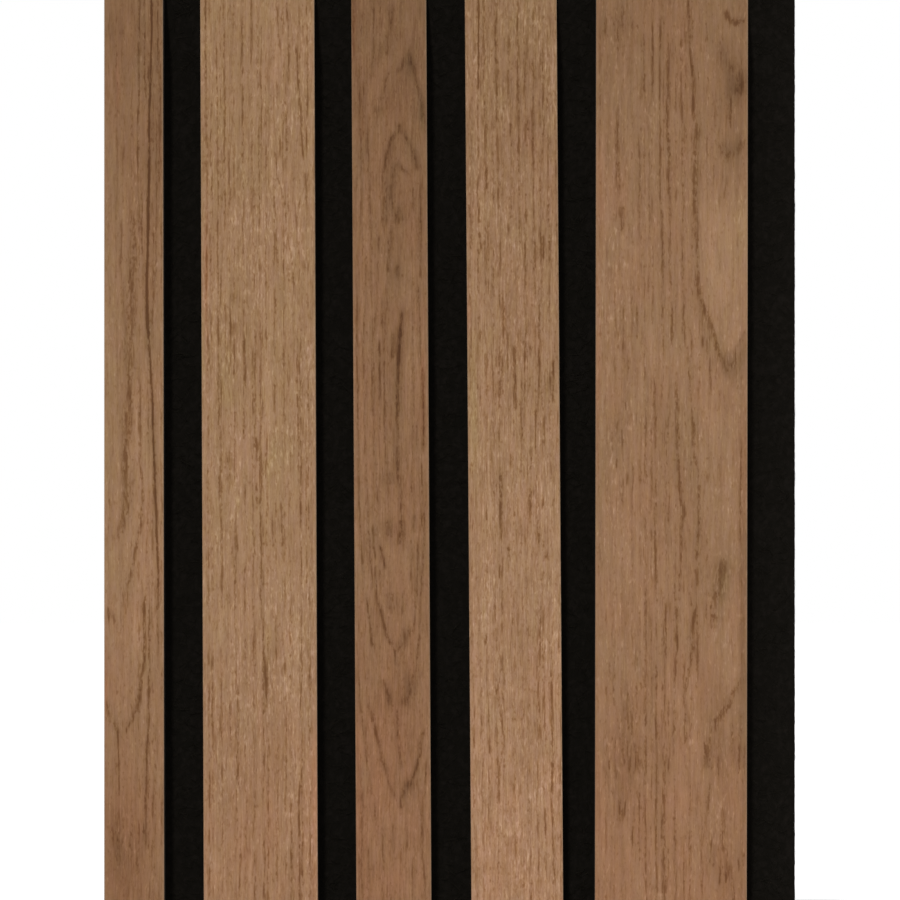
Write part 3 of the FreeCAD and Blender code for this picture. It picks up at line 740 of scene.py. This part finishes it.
grainPattern = {
    "wander": [(0.3, 14, 17, 0, 2), (0.1, 3, 3.4, 9, 2)],           # waves, as drift() takes them
    "ringDrift": [(0.25, 9, 60, 4, 3)],
    "shadeDrift": [(0.07, 5, 34, 60, 3), (0.05, 2.2, 5, 61, 2)],
    "tintDrift": [(0.1, 7, 18, 80, 2), (0.1, 2.4, 9, 81, 2)],
    "patchAcross": [(0.5, 2.1, 6, 0, 3)],
    "patchAlong": [(1.5, 1.7, 5, 3, 3)],
    "openSpot": (11, 24, 15),       # noises from 0 to 1: width, length, step of the seed
    "raySpot": (6, 16, 50),
    "rayDash": (1.5, 3, 51),
    "openRange": (0.66, 1.18),      # what a noise or the early wood of a ring turns its value into
    "rayRange": (0.4, 1.0),
    "rowRange": (0.68, 0.98),
    "dashRange": (0.6, 1.4),
    "rows": {"cell": (2.6, 8.0), "halfLength": 6.0, "halfWidth": 0.32, "share": 0.85, "jitter": 0.12},
    "marks": {"cell": (1.3, 3.0), "halfLength": 1.5, "halfWidth": 0.32, "share": 0.5, "jitter": 0.9},
    "markStrength": 0.2,
    "earlyShade": 0.05,             # how much darker early wood and the rows of pores are
    "rowShade": 0.05,
    "earlyPower": 1.5,
    "fullLine": 0.6,                # half width above which a drawn line gets weaker
    "lineSpread": 1.15,
    "haloSpread": 2.2,
    "lineEnds": (0.12, 0.5, 0.25),  # share of the length and mm over which both ends fade, and what is left
    "breakLength": 3.1,
    "breakStep": 5.7,               # keeps the breaks of one line unlike those of the next
    "breakRange": (0.55, 1.3),
    "zoneEdge": 0.5,                # how soft a pale zone's sides and its top are
    "zoneTop": 14,
    "zoneClears": 4,
    "poreLimit": 1.7,
    "fleckLimit": 0.8,
}


def spotNoise(across, along, spot, seed):
    # noise(across / width, along / length), 0 to 1
    width, length, step = spot
    return smoothNoise(across / width, along / length, seed + step)


def poreRows(across, along, values, seed):
    # upright rows at uneven distances; each is a chain of strokes, one to a cell of a lattice, of strength
    # exp(-(du / halfWidth)^2) max(0, 1 - (dv / halfLength)^2), and the darkest of the nine nearest counts;
    # hashed numbers move a row by up to 0.3 cells and make a stroke 0.5 to 1.5 times as long, 0.7 to 1.3
    # times as wide, and as dark as the root of a number from 0 to 1, or leave it out
    cellAcross, cellAlong = values["cell"]
    column, row = np.floor(across / cellAcross), np.floor(along / cellAlong)
    field = np.zeros(across.shape)
    for stepAcross in (-1, 0, 1):
        for stepAlong in (-1, 0, 1):
            i, j = column + stepAcross, row + stepAlong
            placed = 0.5 + 0.6 * (hashed(i, 0, seed) - 0.5)
            placed = placed + values["jitter"] * (hashed(i, j, seed + 1) - 0.5)
            du = across - (i + placed) * cellAcross
            dv = along - (j + hashed(i, j, seed + 2)) * cellAlong
            halfLength = values["halfLength"] * (0.5 + hashed(i, j, seed + 3))
            halfWidth = values["halfWidth"] * (0.7 + 0.6 * hashed(i, j, seed + 4))
            drawn = (hashed(i, j, seed + 5) - 1 + values["share"]) / values["share"]
            stroke = np.exp(-(du / halfWidth) ** 2) * np.clip(1 - (dv / halfLength) ** 2, 0, 1)
            field = np.maximum(field, np.clip(drawn, 0, 1) ** 0.5 * stroke)
    return field


def grainLines(across, along, lines, seed):
    # for each line, drawn by its points: strength exp(-(d / (lineSpread halfWidth))^3), with d the distance
    # to it, less if it is wide, fading to its ends and broken up along its length by noise, and around it a
    # halo strength exp(-(d / (haloSpread halfWidth))^2); the darkest line counts
    values = grainPattern
    fadeShare, fadeMore, fadeStart = values["lineEnds"]
    heights = along[:, 0]
    field, halo = np.zeros(across.shape), np.zeros(across.shape)
    for number, (strength, halfWidth, points) in enumerate(lines):
        points = np.array(points, float)
        solid = min(1.0, values["fullLine"] / halfWidth) ** 0.5
        reach = 5 * halfWidth + 1                                        # past this nothing shows
        first, last = np.searchsorted(heights, [points[:, 1].min() - reach, points[:, 1].max() + reach])
        u, v = across[first:last], along[first:last]
        steps = np.diff(points, axis=0)
        lengths = np.hypot(steps[:, 0], steps[:, 1])
        starts = np.concatenate([[0], np.cumsum(lengths)])
        nearest, place = np.full(u.shape, np.inf), np.zeros(u.shape)     # nearest is a distance squared
        for point, step, length, start in zip(points, steps, lengths, starts):
            share = np.clip(((u - point[0]) * step[0] + (v - point[1]) * step[1]) / length ** 2, 0, 1)
            distance = (u - point[0] - share * step[0]) ** 2 + (v - point[1] - share * step[1]) ** 2
            place = np.where(distance < nearest, start + share * length, place)
            nearest = np.minimum(nearest, distance)
        fromEnd = np.minimum(place, starts[-1] - place)
        ends = np.clip(fromEnd / (fadeShare * starts[-1] + fadeMore) + fadeStart, 0, 1)
        ownRow = np.full(u.shape, number * values["breakStep"])
        noise = smoothNoise(place / values["breakLength"], ownRow, seed)
        breaks = np.clip(between(values["breakRange"], noise), 0, 1)
        drawn = solid * np.exp(-(nearest / (values["lineSpread"] * halfWidth) ** 2) ** 1.5) * ends * breaks
        field[first:last] = np.maximum(field[first:last], strength * drawn)
        around = strength * np.exp(-nearest / (values["haloSpread"] * halfWidth) ** 2) * ends
        halo[first:last] = np.maximum(halo[first:last], around)
    return field, halo


def patches(across, along, spots, seed):
    # sum of amount exp(-(du / halfAcross)^2 - (dv / halfAlong)^2), its outline pushed about by noise
    u = across + drift(across, along, grainPattern["patchAcross"], seed)
    v = along + drift(across, along, grainPattern["patchAlong"], seed)
    field = np.zeros(across.shape)
    for amount, spotAcross, spotAlong, halfAcross, halfAlong in spots:
        field += amount * np.exp(-((u - spotAcross) / halfAcross) ** 2 - ((v - spotAlong) / halfAlong) ** 2)
    return field


def zoneShare(across, along, outline):
    # 1 between the left and the right edge that the outline gives at each height, 0 outside, softly
    heights, lefts, rights = np.array(outline).T
    left, right = np.interp(along, heights, lefts), np.interp(along, heights, rights)
    soft = grainPattern["zoneEdge"]
    share = np.clip((across - left) / soft + 0.5, 0, 1) * np.clip((right - across) / soft + 0.5, 0, 1)
    ends = np.minimum(along - heights[0], (heights[-1] - along) / grainPattern["zoneTop"])
    return share * np.clip(ends, 0, 1)


def ringDistance(across, along, heart):
    # how far a point lies from the tree's heart: sqrt((across - heart)^2 + depth^2), where the heart and
    # its depth under the face change along the bar
    heights, hearts, depths = np.array(heart).T
    return np.hypot(across - np.interp(along, heights, hearts), np.interp(along, heights, depths))


def oakFields(across, along, width, slat):
    # the pattern of one slat, each field as an array over its face
    values, seed = grainPattern, slat["seed"]
    u = across + drift(across, along, values["wander"], seed)
    rings = ringDistance(u, along, slat["rings"]["heart"]) / slat["rings"]["spacing"]
    rings = rings + drift(u, along, values["ringDrift"], seed)
    early = (0.5 + 0.5 * np.cos(2 * np.pi * rings)) ** values["earlyPower"]

    # pores: the darkest of the drawn lines and the rows, over scattered marks
    openness = np.interp(across, *np.array(slat["open"]).T)
    openness = openness * between(values["openRange"], spotNoise(u, along, values["openSpot"], seed))
    drawn, halo = grainLines(u, along, slat["lines"], seed)
    rows = poreRows(u, along, values["rows"], seed + 20)
    marks = poreRows(u, along, values["marks"], seed + 30)
    pore = np.maximum(drawn, openness * rows * between(values["rowRange"], early))
    pore = pore + slat["dashes"] * between(values["dashRange"], early)
    pore = pore + values["markStrength"] * openness * marks

    # pale flecks, lightness and colour
    rays = between(values["rayRange"], spotNoise(u, along, values["rayDash"], seed))
    rays = rays * spotNoise(u, along, values["raySpot"], seed)
    fleck = slat["fleck"] * rays + patches(u, along, slat["pale"], seed)
    # lightness along the bar: the bar's own tone, and painted shade that darkens most bars towards their
    # upper end
    shade = np.interp(along, *np.array(slat["shade"]).T) * (1 + drift(u, along, values["shadeDrift"], seed))
    shade = shade * (1 - patches(u, along, slat["smudges"], seed + 70)) * (1 - values["earlyShade"] * early)
    shade = shade * (1 - slat["halo"] * halo) * (1 - values["rowShade"] * rows * openness)
    tint = np.interp(along, *np.array(slat["tint"]).T) + patches(u, along, slat["tints"], seed + 90)
    tint = tint + drift(u, along, values["tintDrift"], seed)
    if "paleZone" in slat:
        zone = slat["paleZone"]["amount"] * zoneShare(u, along, slat["paleZone"]["outline"])
        pore, shade = pore * (1 - values["zoneClears"] * zone), shade * (1 + zone)
    edge = 0
    for (share, reach), distance in ((oak["edgeRight"], width - across), (oak["edgeLeft"], across)):
        edge = edge + share * np.exp(-(distance / reach) ** 2)
    return {"pore": np.clip(pore, 0, values["poreLimit"]), "fleck": np.clip(fleck, 0, values["fleckLimit"]),
            "shade": shade, "tint": np.clip(tint, 0, 1), "edge": edge,
            "grain": np.full(across.shape, slat["grain"])}


def barOutline(node):
    # left and right x of a bar at its lower and upper end, read from the CAD node, and its y and z; in mm
    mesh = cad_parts[node].data
    points = np.zeros(3 * len(mesh.vertices))
    mesh.vertices.foreach_get("co", points)
    points = points.reshape(-1, 3) / mm
    low, high = points.min(axis=0), points.max(axis=0)
    near = 0.01
    lower, upper = points[points[:, 2] < low[2] + near, 0], points[points[:, 2] > high[2] - near, 0]
    return {"left": (lower.min(), upper.min()), "right": (lower.max(), upper.max()),
            "front": low[1], "back": high[1], "low": low[2], "high": high[2]}


def barEdges(outline, heights):
    # x of both long edges at each height: a straight line from the lower to the upper end
    ends = (outline["low"], outline["high"])
    return np.interp(heights, ends, outline["left"]), np.interp(heights, ends, outline["right"])


def barHeights(outline, step):
    # heights of the rings of a bar's mesh, and x of its left and right edge there, as columns
    low, high = outline["low"], outline["high"]
    heights = np.linspace(low, high, round((high - low) / step) + 1)
    left, right = barEdges(outline, heights)
    return heights[:, None], left[:, None], right[:, None]


def veneer(number, slat, material):
    # rings up the bar: a ring runs over the face, with pores sunk into it, and back behind it;
    # x = left(z) + across, y = front + poreDepth pore
    node = f"slat_veneer_{number}"
    outline = barOutline(node)
    heights, left, right = barHeights(outline, oak["rowStep"])
    width = right - left
    arris = oak["arris"]
    columns = round(width.mean() / oak["columnStep"]) + 1
    across = arris + np.linspace(0, 1, columns)[None, :] * (width - 2 * arris)
    fields = oakFields(across, np.repeat(heights, columns, axis=1), width, slat)
    face = outline["front"] + oak["poreDepth"] * np.minimum(fields["pore"], 1)
    face[:, [0, -1]] = outline["front"]
    back, side = (np.full(left.shape, depth) for depth in (outline["back"], outline["front"] + arris))
    x = np.concatenate([left, left, left + across, right, right], axis=1)
    y = np.concatenate([back, side, face, side, back], axis=1)
    z = np.repeat(heights, x.shape[1], axis=1)
    made = sweptRings(f"oakVeneer{number}", np.stack([x, y, z], axis=-1)[None] * mm)
    for name, values in fields.items():
        giveAttribute(made, name, np.pad(values, ((0, 0), (2, 2)), mode="edge"))    # two points on each side
    finishPiece(made, material, "oak_veneer", node)


oakFace = oakMaterial()
for number, slat in enumerate(slats, start=1):
    veneer(number, slat, oakFace)


# Dyed MDF cores

core = {
    "backBevel": 0.5,
    "rowStep": 2.0,
    "sideStep": 1.2,
    "ripple": 0.03,         # waviness that the saw leaves on the sides
    "rippleSpacing": (3, 2.5),      # along y and z
    "seed": 200,
    "colour": "#292623",
    "speck": "#3A3632",
    "specks": (0.5, 0.5, 0.8),      # drawn coarser than real wood fibres, so that they show
    "detail": 3.0,
    "speckRange": (0.5, 0.7),
    "roughness": 0.85,
    "specular": 0.08,
    "relief": (0.05, 0.6),
}


def coreMaterial():
    # Black dyed MDF, sawn and left bare. The eye sees a dull near-black with slightly lighter fibres.
    material, tree, surface = newMaterial("dyed MDF", core["roughness"], core["specular"])
    specks = patternNoise(tree, core["specks"], core["detail"])
    share = addNode(tree, "MapRange", [specks, *core["speckRange"]])
    colours = {0: share, 6: linear(core["colour"]), 7: linear(core["speck"])}
    mixed = addNode(tree, "Mix", colours, data_type="RGBA")
    coverSurface(tree, surface, mixed.outputs[2], specks, core["relief"])
    return material


def slatCore(number, material):
    # rings up the bar; both sides waver by ripple noise(y, z), inwards, but not where the veneer is glued
    node = f"slat_core_{number}"
    outline = barOutline(node)
    heights, left, right = barHeights(outline, core["rowStep"])
    bevel = core["backBevel"]
    columns = round((outline["back"] - outline["front"]) / core["sideStep"]) + 1
    depths, z = np.meshgrid(np.linspace(outline["front"], outline["back"] - bevel, columns), heights[:, 0])
    deep, high = core["rippleSpacing"]
    sunk = []
    for step in (0, 5):
        noise = layeredNoise(depths / deep, z / high, core["seed"] + 10 * number + step, 2)
        sunk.append(core["ripple"] * (0.5 + 0.5 * noise))
        sunk[-1][:, 0] = 0
    back = np.full(left.shape, outline["back"])
    x = np.concatenate([(left + sunk[0])[:, ::-1], right - sunk[1], right - bevel, left + bevel], axis=1)
    y = np.concatenate([depths[:, ::-1], depths, back, back], axis=1)
    z = np.repeat(heights, x.shape[1], axis=1)
    made = sweptRings(f"mdfCore{number}", np.stack([x, y, z], axis=-1)[None] * mm)
    finishPiece(made, material, "dyed_mdf", node)


dyedMdf = coreMaterial()
for number in range(1, len(slats) + 1):
    slatCore(number, dyedMdf)


# Where the staples sit

staple = {
    "rows": (-120.0, 0.0, 120.0),
    "columns": (1, 1, 1, 1, 2),     # in each bar, from left to right
    "crown": 5.8,                   # over both legs
    "width": 1.25,
    "thickness": 1.0,
    "bend": 0.8,                    # outside of the bends
    "tip": -18.3,
    "point": 1.2,
    "pressed": 0.12,                # share of the wire's thickness left at a point
    "back": -0.3,                   # the crown's back, sunk in the felt
    "corner": 0.3,                  # rounding of the drawn wire
    "cornerSteps": 3,
    "bendSteps": 6,
    "colour": "#9A9A96",
    "dull": "#6F6F6C",
    "dullSpots": (1.2, 1.2, 1.8),
    "detail": 3.0,
    "roughness": 0.38,
    "specular": 0.5,
}


def staplePlaces():
    # (x, z) of every staple in mm: evenly spaced over each bar's width, on lines that lean with the bar
    places = []
    for number, columns in enumerate(staple["columns"], start=1):
        left, right = barEdges(barOutline(f"slat_core_{number}"), np.array(staple["rows"]))
        for column in range(columns):
            middle = left + (right - left) * (column + 0.5) / columns
            places += list(zip(middle, staple["rows"]))
    return np.array(places)


places = staplePlaces()


# PET felt

felt = {
    "wideStep": 2.4,
    "fineStep": 0.42,        # around the staples
    "fineReach": 3.4,        # how far the fine mesh goes past a crown
    "edge": 0.45,            # rounding of the cut edges
    "edgeSteps": (0.15, 0.5),       # grid lines on the rounding, as shares of it
    "relief": 0.10,
    "reliefSpacing": (3.5, 4.1),
    "reliefSeeds": (301, 311),      # front and back
    "pull": 1.6,             # how far around a crown the felt is pulled in
    "play": 0.05,            # clearance around a crown
    "colour": "#151310",
    "light": "#1C1916",
    "fibre": "#23201A",
    "clouds": (1.6, 1.6, 1.9),
    "cloudDetail": 4.0,
    "cloudRange": (0.45, 0.75),
    "threads": (0.25, 0.25, 0.6),   # drawn about six times coarser than the real thread
    "threadDetail": 2.0,
    "roughness": 0.95,
    "bump": (0.15, 0.7),
    "fibres": {"front": 4300, "back": 1900, "sides": 700},
    "fibreSeed": 5,
    "fibreLength": 4.5,
    "fibreWidth": 0.07,      # drawn about three times coarser than the real thread
    "fibrePoints": 4,
    "fibreBend": 1.1,
    "fibreRise": 0.04,       # of its middle line over the felt at both ends
    "fibreLift": {"front": 0.28, "back": 0.0, "sides": 0.2},
    "fibreThins": 0.6,       # share of the width lost at both ends
    "fibreMargin": 0.3,      # kept free along the edges of a side
    "barMargin": 0.15,       # and along the bars
    "fibreSink": 0.08,       # how far the back's fibres are pressed into the felt
    "deepest": 0.7,          # fibres keep out of the hollows below this
}


def feltMaterial(name, colour):
    # Needled polyester felt. The eye sees a soft black without shine, faintly clouded.
    material, tree, surface = newMaterial(name, felt["roughness"], 0.0)
    clouds = patternNoise(tree, felt["clouds"], felt["cloudDetail"])
    threads = patternNoise(tree, felt["threads"], felt["threadDetail"])
    share = addNode(tree, "MapRange", [clouds, *felt["cloudRange"]])
    mixed = addNode(tree, "Mix", {0: share, 6: linear(colour), 7: linear(felt["light"])}, data_type="RGBA")
    height = addNode(tree, "Math", [clouds, threads], operation="ADD")
    coverSurface(tree, surface, mixed.outputs[2], height, felt["bump"])
    return material


def gridLine(low, high, centres, reach):
    # places from low to high: fineStep apart within reach of a centre, about wideStep apart elsewhere,
    # and close together at both ends for the rounded edge
    edge = felt["edge"]
    rounded = [share * edge for share in felt["edgeSteps"]]
    merged = []
    for centre in sorted(centres):
        if merged and centre - reach < merged[-1][1] + felt["wideStep"]:
            merged[-1][1] = centre + reach
        else:
            merged.append([centre - reach, centre + reach])
    ends = [low + edge]
    for start, stop in merged:
        ends += [max(start, ends[-1] + felt["fineStep"]), min(stop, high - 2 * edge)]
    ends.append(high - edge)
    lines = [low] + [low + step for step in rounded] + [low + edge]
    for at, (start, stop) in enumerate(zip(ends, ends[1:])):
        step = felt["fineStep"] if at % 2 else felt["wideStep"]
        lines += list(np.linspace(start, stop, max(2, round((stop - start) / step) + 1))[1:])
    return np.array(lines + [high - step for step in rounded[::-1]] + [high])


def crownHollow(x, z):
    # how deep the felt is pulled in: the crown's floor under it, rising over "pull" around it by
    # (1 - s)^2 (1 + s / 2), with s the share of the way out
    depth = -staple["back"] + staple["thickness"]
    hollow = np.zeros(x.shape)
    for centreX, centreZ in places:
        outX = np.clip(np.abs(x - centreX) - staple["width"] / 2 - felt["play"], 0, None)
        outZ = np.clip(np.abs(z - centreZ) - staple["crown"] / 2 - felt["play"], 0, None)
        share = np.clip(np.hypot(outX, outZ) / felt["pull"], 0, 1)
        hollow = np.maximum(hollow, depth * (1 - share) ** 2 * (1 + 0.5 * share))
    return hollow


def feltSheet(material):
    # two grids over (x, z), joined all round: front y = low + relief noise + rounding, back y = high -
    # max(relief noise, hollow) - rounding; rounding = edge (1 - sqrt(1 - s^2)), s = 1 - inside / edge
    low, high = (np.array(corner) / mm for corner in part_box("felt_backing"))
    xs = gridLine(low[0], high[0], np.unique(np.round(places[:, 0] / 3) * 3), felt["fineReach"])
    zs = gridLine(low[2], high[2], staple["rows"], staple["crown"] / 2 + felt["fineReach"])
    x, z = np.meshgrid(xs, zs)
    inside = np.minimum(np.minimum(x - low[0], high[0] - x), np.minimum(z - low[2], high[2] - z))
    share = np.clip(1 - inside / felt["edge"], 0, 1)
    rounding = felt["edge"] * (1 - np.sqrt(1 - share ** 2))
    wide, long = felt["reliefSpacing"]
    relief = [felt["relief"] * (0.5 + 0.5 * layeredNoise(x / wide, z / long, seed))
              for seed in felt["reliefSeeds"]]
    front = low[1] + relief[0] + rounding
    back = high[1] - np.maximum(relief[1], crownHollow(x, z)) - rounding
    points = np.stack([np.stack([x, y, z], axis=-1) for y in (front, back)]) * mm
    index = np.arange(2 * x.size).reshape(2, *x.shape)
    faces = np.stack([index[0, :-1, :-1], index[0, :-1, 1:], index[0, 1:, 1:], index[0, 1:, :-1]], axis=-1)
    behind = np.stack([index[1, :-1, :-1], index[1, 1:, :-1], index[1, 1:, 1:], index[1, :-1, 1:]], axis=-1)
    rim = [np.concatenate([side[0, :-1], side[:-1, -1], side[-1, :0:-1], side[::-1, 0]]) for side in index]
    border = np.stack([rim[0][1:], rim[0][:-1], rim[1][:-1], rim[1][1:]], axis=-1)
    groups = [faces.reshape(-1, 4), behind.reshape(-1, 4), border]
    made = meshObject("feltSheet", points.reshape(-1, 3), groups, 60)
    finishPiece(made, material, "black_felt", "felt_backing")
    return low, high


def fibreTubes(start, heading, bend, lift, axes, length):
    # each fibre runs from its start with a heading that turns steadily: d/ds (u, v) = length (cos a, sin a),
    # a = heading + bend (s - 1/2); it rises by lift sin(pi s), and is a tube of three sides with thin ends
    steps = felt["fibrePoints"]
    s = np.linspace(0, 1, steps)[None, :]
    angle = heading[:, None] + bend[:, None] * (s - 0.5)
    step = length[:, None] / (steps - 1)
    u = start[:, :1] + np.cumsum(np.cos(angle) * step, axis=1)
    v = start[:, 1:] + np.cumsum(np.sin(angle) * step, axis=1)
    w = felt["fibreRise"] + lift[:, None] * np.sin(np.pi * s)
    uAxis, vAxis, outward = axes
    middle = u[..., None] * uAxis + v[..., None] * vAxis + w[..., None] * outward
    along = np.cos(angle)[..., None] * uAxis + np.sin(angle)[..., None] * vAxis
    across = np.cross(np.broadcast_to(outward, along.shape), along)
    radius = felt["fibreWidth"] / 2 * (1 - felt["fibreThins"] * np.abs(2 * s - 1) ** 3)[..., None]
    turns = [2 * np.pi * side / 3 for side in range(3)]
    rings = [middle + radius * (np.cos(turn) * across + np.sin(turn) * outward) for turn in turns]
    return u, v, np.stack(rings, axis=2)


def feltFibres(low, high, material):
    # loose fibres on the bare felt between the bars, on its back and on its cut sides
    random = np.random.default_rng(felt["fibreSeed"])
    xAxis, yAxis, zAxis = np.eye(3)
    sizes = high - low
    faces = [
        ("front", (low[0], low[2]), (sizes[0], sizes[2]), (xAxis, zAxis, -yAxis), yAxis * low[1]),
        ("back", (-high[0], low[2]), (sizes[0], sizes[2]), (-xAxis, zAxis, yAxis), yAxis * 0),
        ("sides", (low[1], low[2]), (sizes[1], sizes[2]), (yAxis, zAxis, xAxis), xAxis * high[0]),
        ("sides", (low[0], low[1]), (sizes[0], sizes[1]), (xAxis, yAxis, zAxis), zAxis * high[2]),
    ]
    tubes = []
    margin, barMargin = felt["fibreMargin"], felt["barMargin"]
    for name, corner, extent, axes, place in faces:
        wanted = felt["fibres"][name]
        tries = 4 * wanted
        start = np.array(corner) + random.random((tries, 2)) * extent
        heading = random.random(tries) * 2 * np.pi
        bend = random.normal(0, felt["fibreBend"], tries)
        length = felt["fibreLength"] * (0.5 + random.random(tries))
        raised = felt["fibreLift"][name] * random.random(tries) ** 2
        u, v, rings = fibreTubes(start, heading, bend, raised, axes, length)
        fits = (u > corner[0] + margin) & (u < corner[0] + extent[0] - margin)
        fits &= (v > corner[1] + margin) & (v < corner[1] + extent[1] - margin)
        if name == "front":
            for number in range(1, len(slats) + 1):
                left, right = barEdges(barOutline(f"slat_core_{number}"), v)
                fits &= (u < left - barMargin) | (u > right + barMargin)
        if name == "back":
            hollow = crownHollow(-u, v)
            fits &= hollow < felt["deepest"]
            rings[..., 1] -= np.maximum(hollow, felt["fibreSink"])[:, :, None]
        tubes.append(rings[fits.all(axis=1)][:wanted] + place)
    made = sweptRings("feltFibres", np.concatenate(tubes) * mm, 180)
    finishPiece(made, material, "black_felt")


feltLow, feltHigh = feltSheet(feltMaterial("PET felt", felt["colour"]))
feltFibres(feltLow, feltHigh, feltMaterial("PET felt fibres", felt["fibre"]))


# Staples

def stapleMaterial():
    # Galvanised steel wire. The eye sees a soft grey metal with dull patches in the zinc.
    values = (staple["roughness"], staple["specular"], 1.0)
    material, tree, surface = newMaterial("galvanised steel wire", *values)
    dulled = patternNoise(tree, staple["dullSpots"], staple["detail"])
    colours = {0: dulled, 6: linear(staple["colour"]), 7: linear(staple["dull"])}
    mixed = addNode(tree, "Mix", colours, data_type="RGBA")
    tree.links.new(mixed.outputs[2], surface.inputs["Base Color"])
    return material


def wireSection():
    # a rectangle with rounded corners: corner centre + corner (cos a, sin a), anticlockwise
    reachX = staple["width"] / 2 - staple["corner"]
    reachY = staple["thickness"] / 2 - staple["corner"]
    turn = np.linspace(0, np.pi / 2, staple["cornerSteps"] + 1)
    points = []
    for quarter, (signX, signY) in enumerate([(1, 1), (-1, 1), (-1, -1), (1, -1)]):
        angle = turn + quarter * np.pi / 2
        points.append(np.stack([signX * reachX + staple["corner"] * np.cos(angle),
                                signY * reachY + staple["corner"] * np.sin(angle)], axis=-1))
    return np.concatenate(points)


def stapleWire(material):
    # the wire's section swept up one leg, round a bend, over the crown and down the other leg;
    # each ring lies in x and in the normal of the path, and both tips are pressed to a chisel
    half = staple["crown"] / 2
    arm = half - staple["thickness"] / 2
    centre = half - staple["bend"]
    radius = staple["bend"] - staple["thickness"] / 2
    turn = np.linspace(0, np.pi / 2, staple["bendSteps"] + 1)
    shoulder = staple["tip"] + staple["point"]
    z = np.concatenate([[-arm, -arm], -centre - radius * np.cos(turn)])
    y = np.concatenate([[staple["tip"], shoulder], staple["back"] - staple["bend"] + radius * np.sin(turn)])
    path = np.stack([np.concatenate([y, y[::-1]]), np.concatenate([z, -z[::-1]])], axis=-1)
    travel = np.concatenate([np.full(2, np.pi / 2), np.pi / 2 - turn])
    angle = np.concatenate([travel, -travel[::-1]])
    press = np.ones(len(path))
    press[[0, -1]] = staple["pressed"]
    section = wireSection()
    depth = section[None, :, 1] * press[:, None]
    x = np.repeat(section[None, :, 0], len(path), axis=0)
    y = path[:, :1] + depth * np.cos(angle)[:, None]
    z = path[:, 1:] - depth * np.sin(angle)[:, None]
    one = np.stack([x, y, z], axis=-1)
    offsets = np.stack([places[:, 0], np.zeros(len(places)), places[:, 1]], axis=-1)
    made = sweptRings("stapleWire", (one[None] + offsets[:, None, None, :]) * mm, 40)
    finishPiece(made, material, "staple_wire", "staples")


stapleWire(stapleMaterial())


# Floor, surroundings, light and camera

stage = {
    "floorSize": 7.0,        # metres
    "floorColour": "#BCBCBC",
    "floorRoughness": 0.9,
    "floorGlow": 0.35,       # seen by the camera alone, so that the lit floor is white and the shadow pale
    "skyStrength": 0.47,
    "lampTurn": -12.0,       # degrees to the left of the camera
    "lampHeight": 70.0,      # degrees above the floor
    "lampSpread": 2.4,       # degrees that the lamp fills
    "lampStrength": 3.57,
    "lens": 240.0,
    "sensor": 36.0,
    "cameraX": -0.00018,     # metres
    "pixelsPerMetre": 3000.0,
    "imageSize": 900,
}
white = (1.0, 1.0, 1.0, 1.0)


def floorPlane():
    # a pale floor under the board's lower end
    half = stage["floorSize"] / 2
    corners = np.array([[-half, -half], [half, -half], [half, half], [-half, half]])
    height = np.full((4, 1), loadedBox[0][2])
    made = meshObject("floor", np.hstack([corners, height]), [np.arange(4)[None]])
    material, tree, surface = newMaterial("pale floor", stage["floorRoughness"], 0.0)
    surface.inputs["Base Color"].default_value = linear(stage["floorColour"])
    surface.inputs["Emission Color"].default_value = white
    seen = addNode(tree, "LightPath").outputs["Is Camera Ray"]
    glow = addNode(tree, "Math", [seen, stage["floorGlow"]], operation="MULTIPLY")
    tree.links.new(glow.outputs[0], surface.inputs["Emission Strength"])
    made.data.materials.append(material)


def surroundings():
    # white where the camera, a reflection or a clear piece sees it, and weaker as light on the object
    world = bpy.data.worlds.new("studio")
    world.use_nodes = True
    bpy.context.scene.world = world
    tree = world.node_tree
    path = addNode(tree, "LightPath").outputs
    seen = addNode(tree, "Math", [path["Is Camera Ray"], path["Is Glossy Ray"]], operation="MAXIMUM")
    seen = addNode(tree, "Math", [seen, path["Is Transmission Ray"]], operation="MAXIMUM")
    dim = stage["skyStrength"]
    strength = addNode(tree, "Math", [seen, 1 - dim, dim], operation="MULTIPLY_ADD")
    background = tree.nodes["Background"]
    background.inputs["Color"].default_value = white
    tree.links.new(strength.outputs[0], background.inputs["Strength"])


def studioLamp():
    # a far softbox, high and a little to the left, so that each bar shades the felt to its right
    light = bpy.data.lights.new("softbox", "SUN")
    light.angle = math.radians(stage["lampSpread"])
    light.energy = stage["lampStrength"]
    lamp = bpy.data.objects.new("softbox", light)
    lamp.rotation_euler = (math.radians(90 - stage["lampHeight"]), 0, math.radians(stage["lampTurn"]))
    bpy.context.scene.collection.objects.link(lamp)


def studioCamera():
    # looks straight at the face from the distance at which the face has pixelsPerMetre in the image
    data = bpy.data.cameras.new("camera")
    data.lens = stage["lens"]
    data.sensor_width = stage["sensor"]
    camera = bpy.data.objects.new("camera", data)
    shown = stage["imageSize"] / stage["pixelsPerMetre"]
    distance = shown * stage["lens"] / stage["sensor"]
    camera.location = (stage["cameraX"], loadedBox[0][1] - distance, 0)
    camera.rotation_euler = (math.pi / 2, 0, 0)
    bpy.context.scene.collection.objects.link(camera)
    bpy.context.scene.camera = camera


floorPlane()
surroundings()
studioLamp()
studioCamera()
bpy.context.scene.view_settings.view_transform = "Standard"
print("stage, light and camera in place")
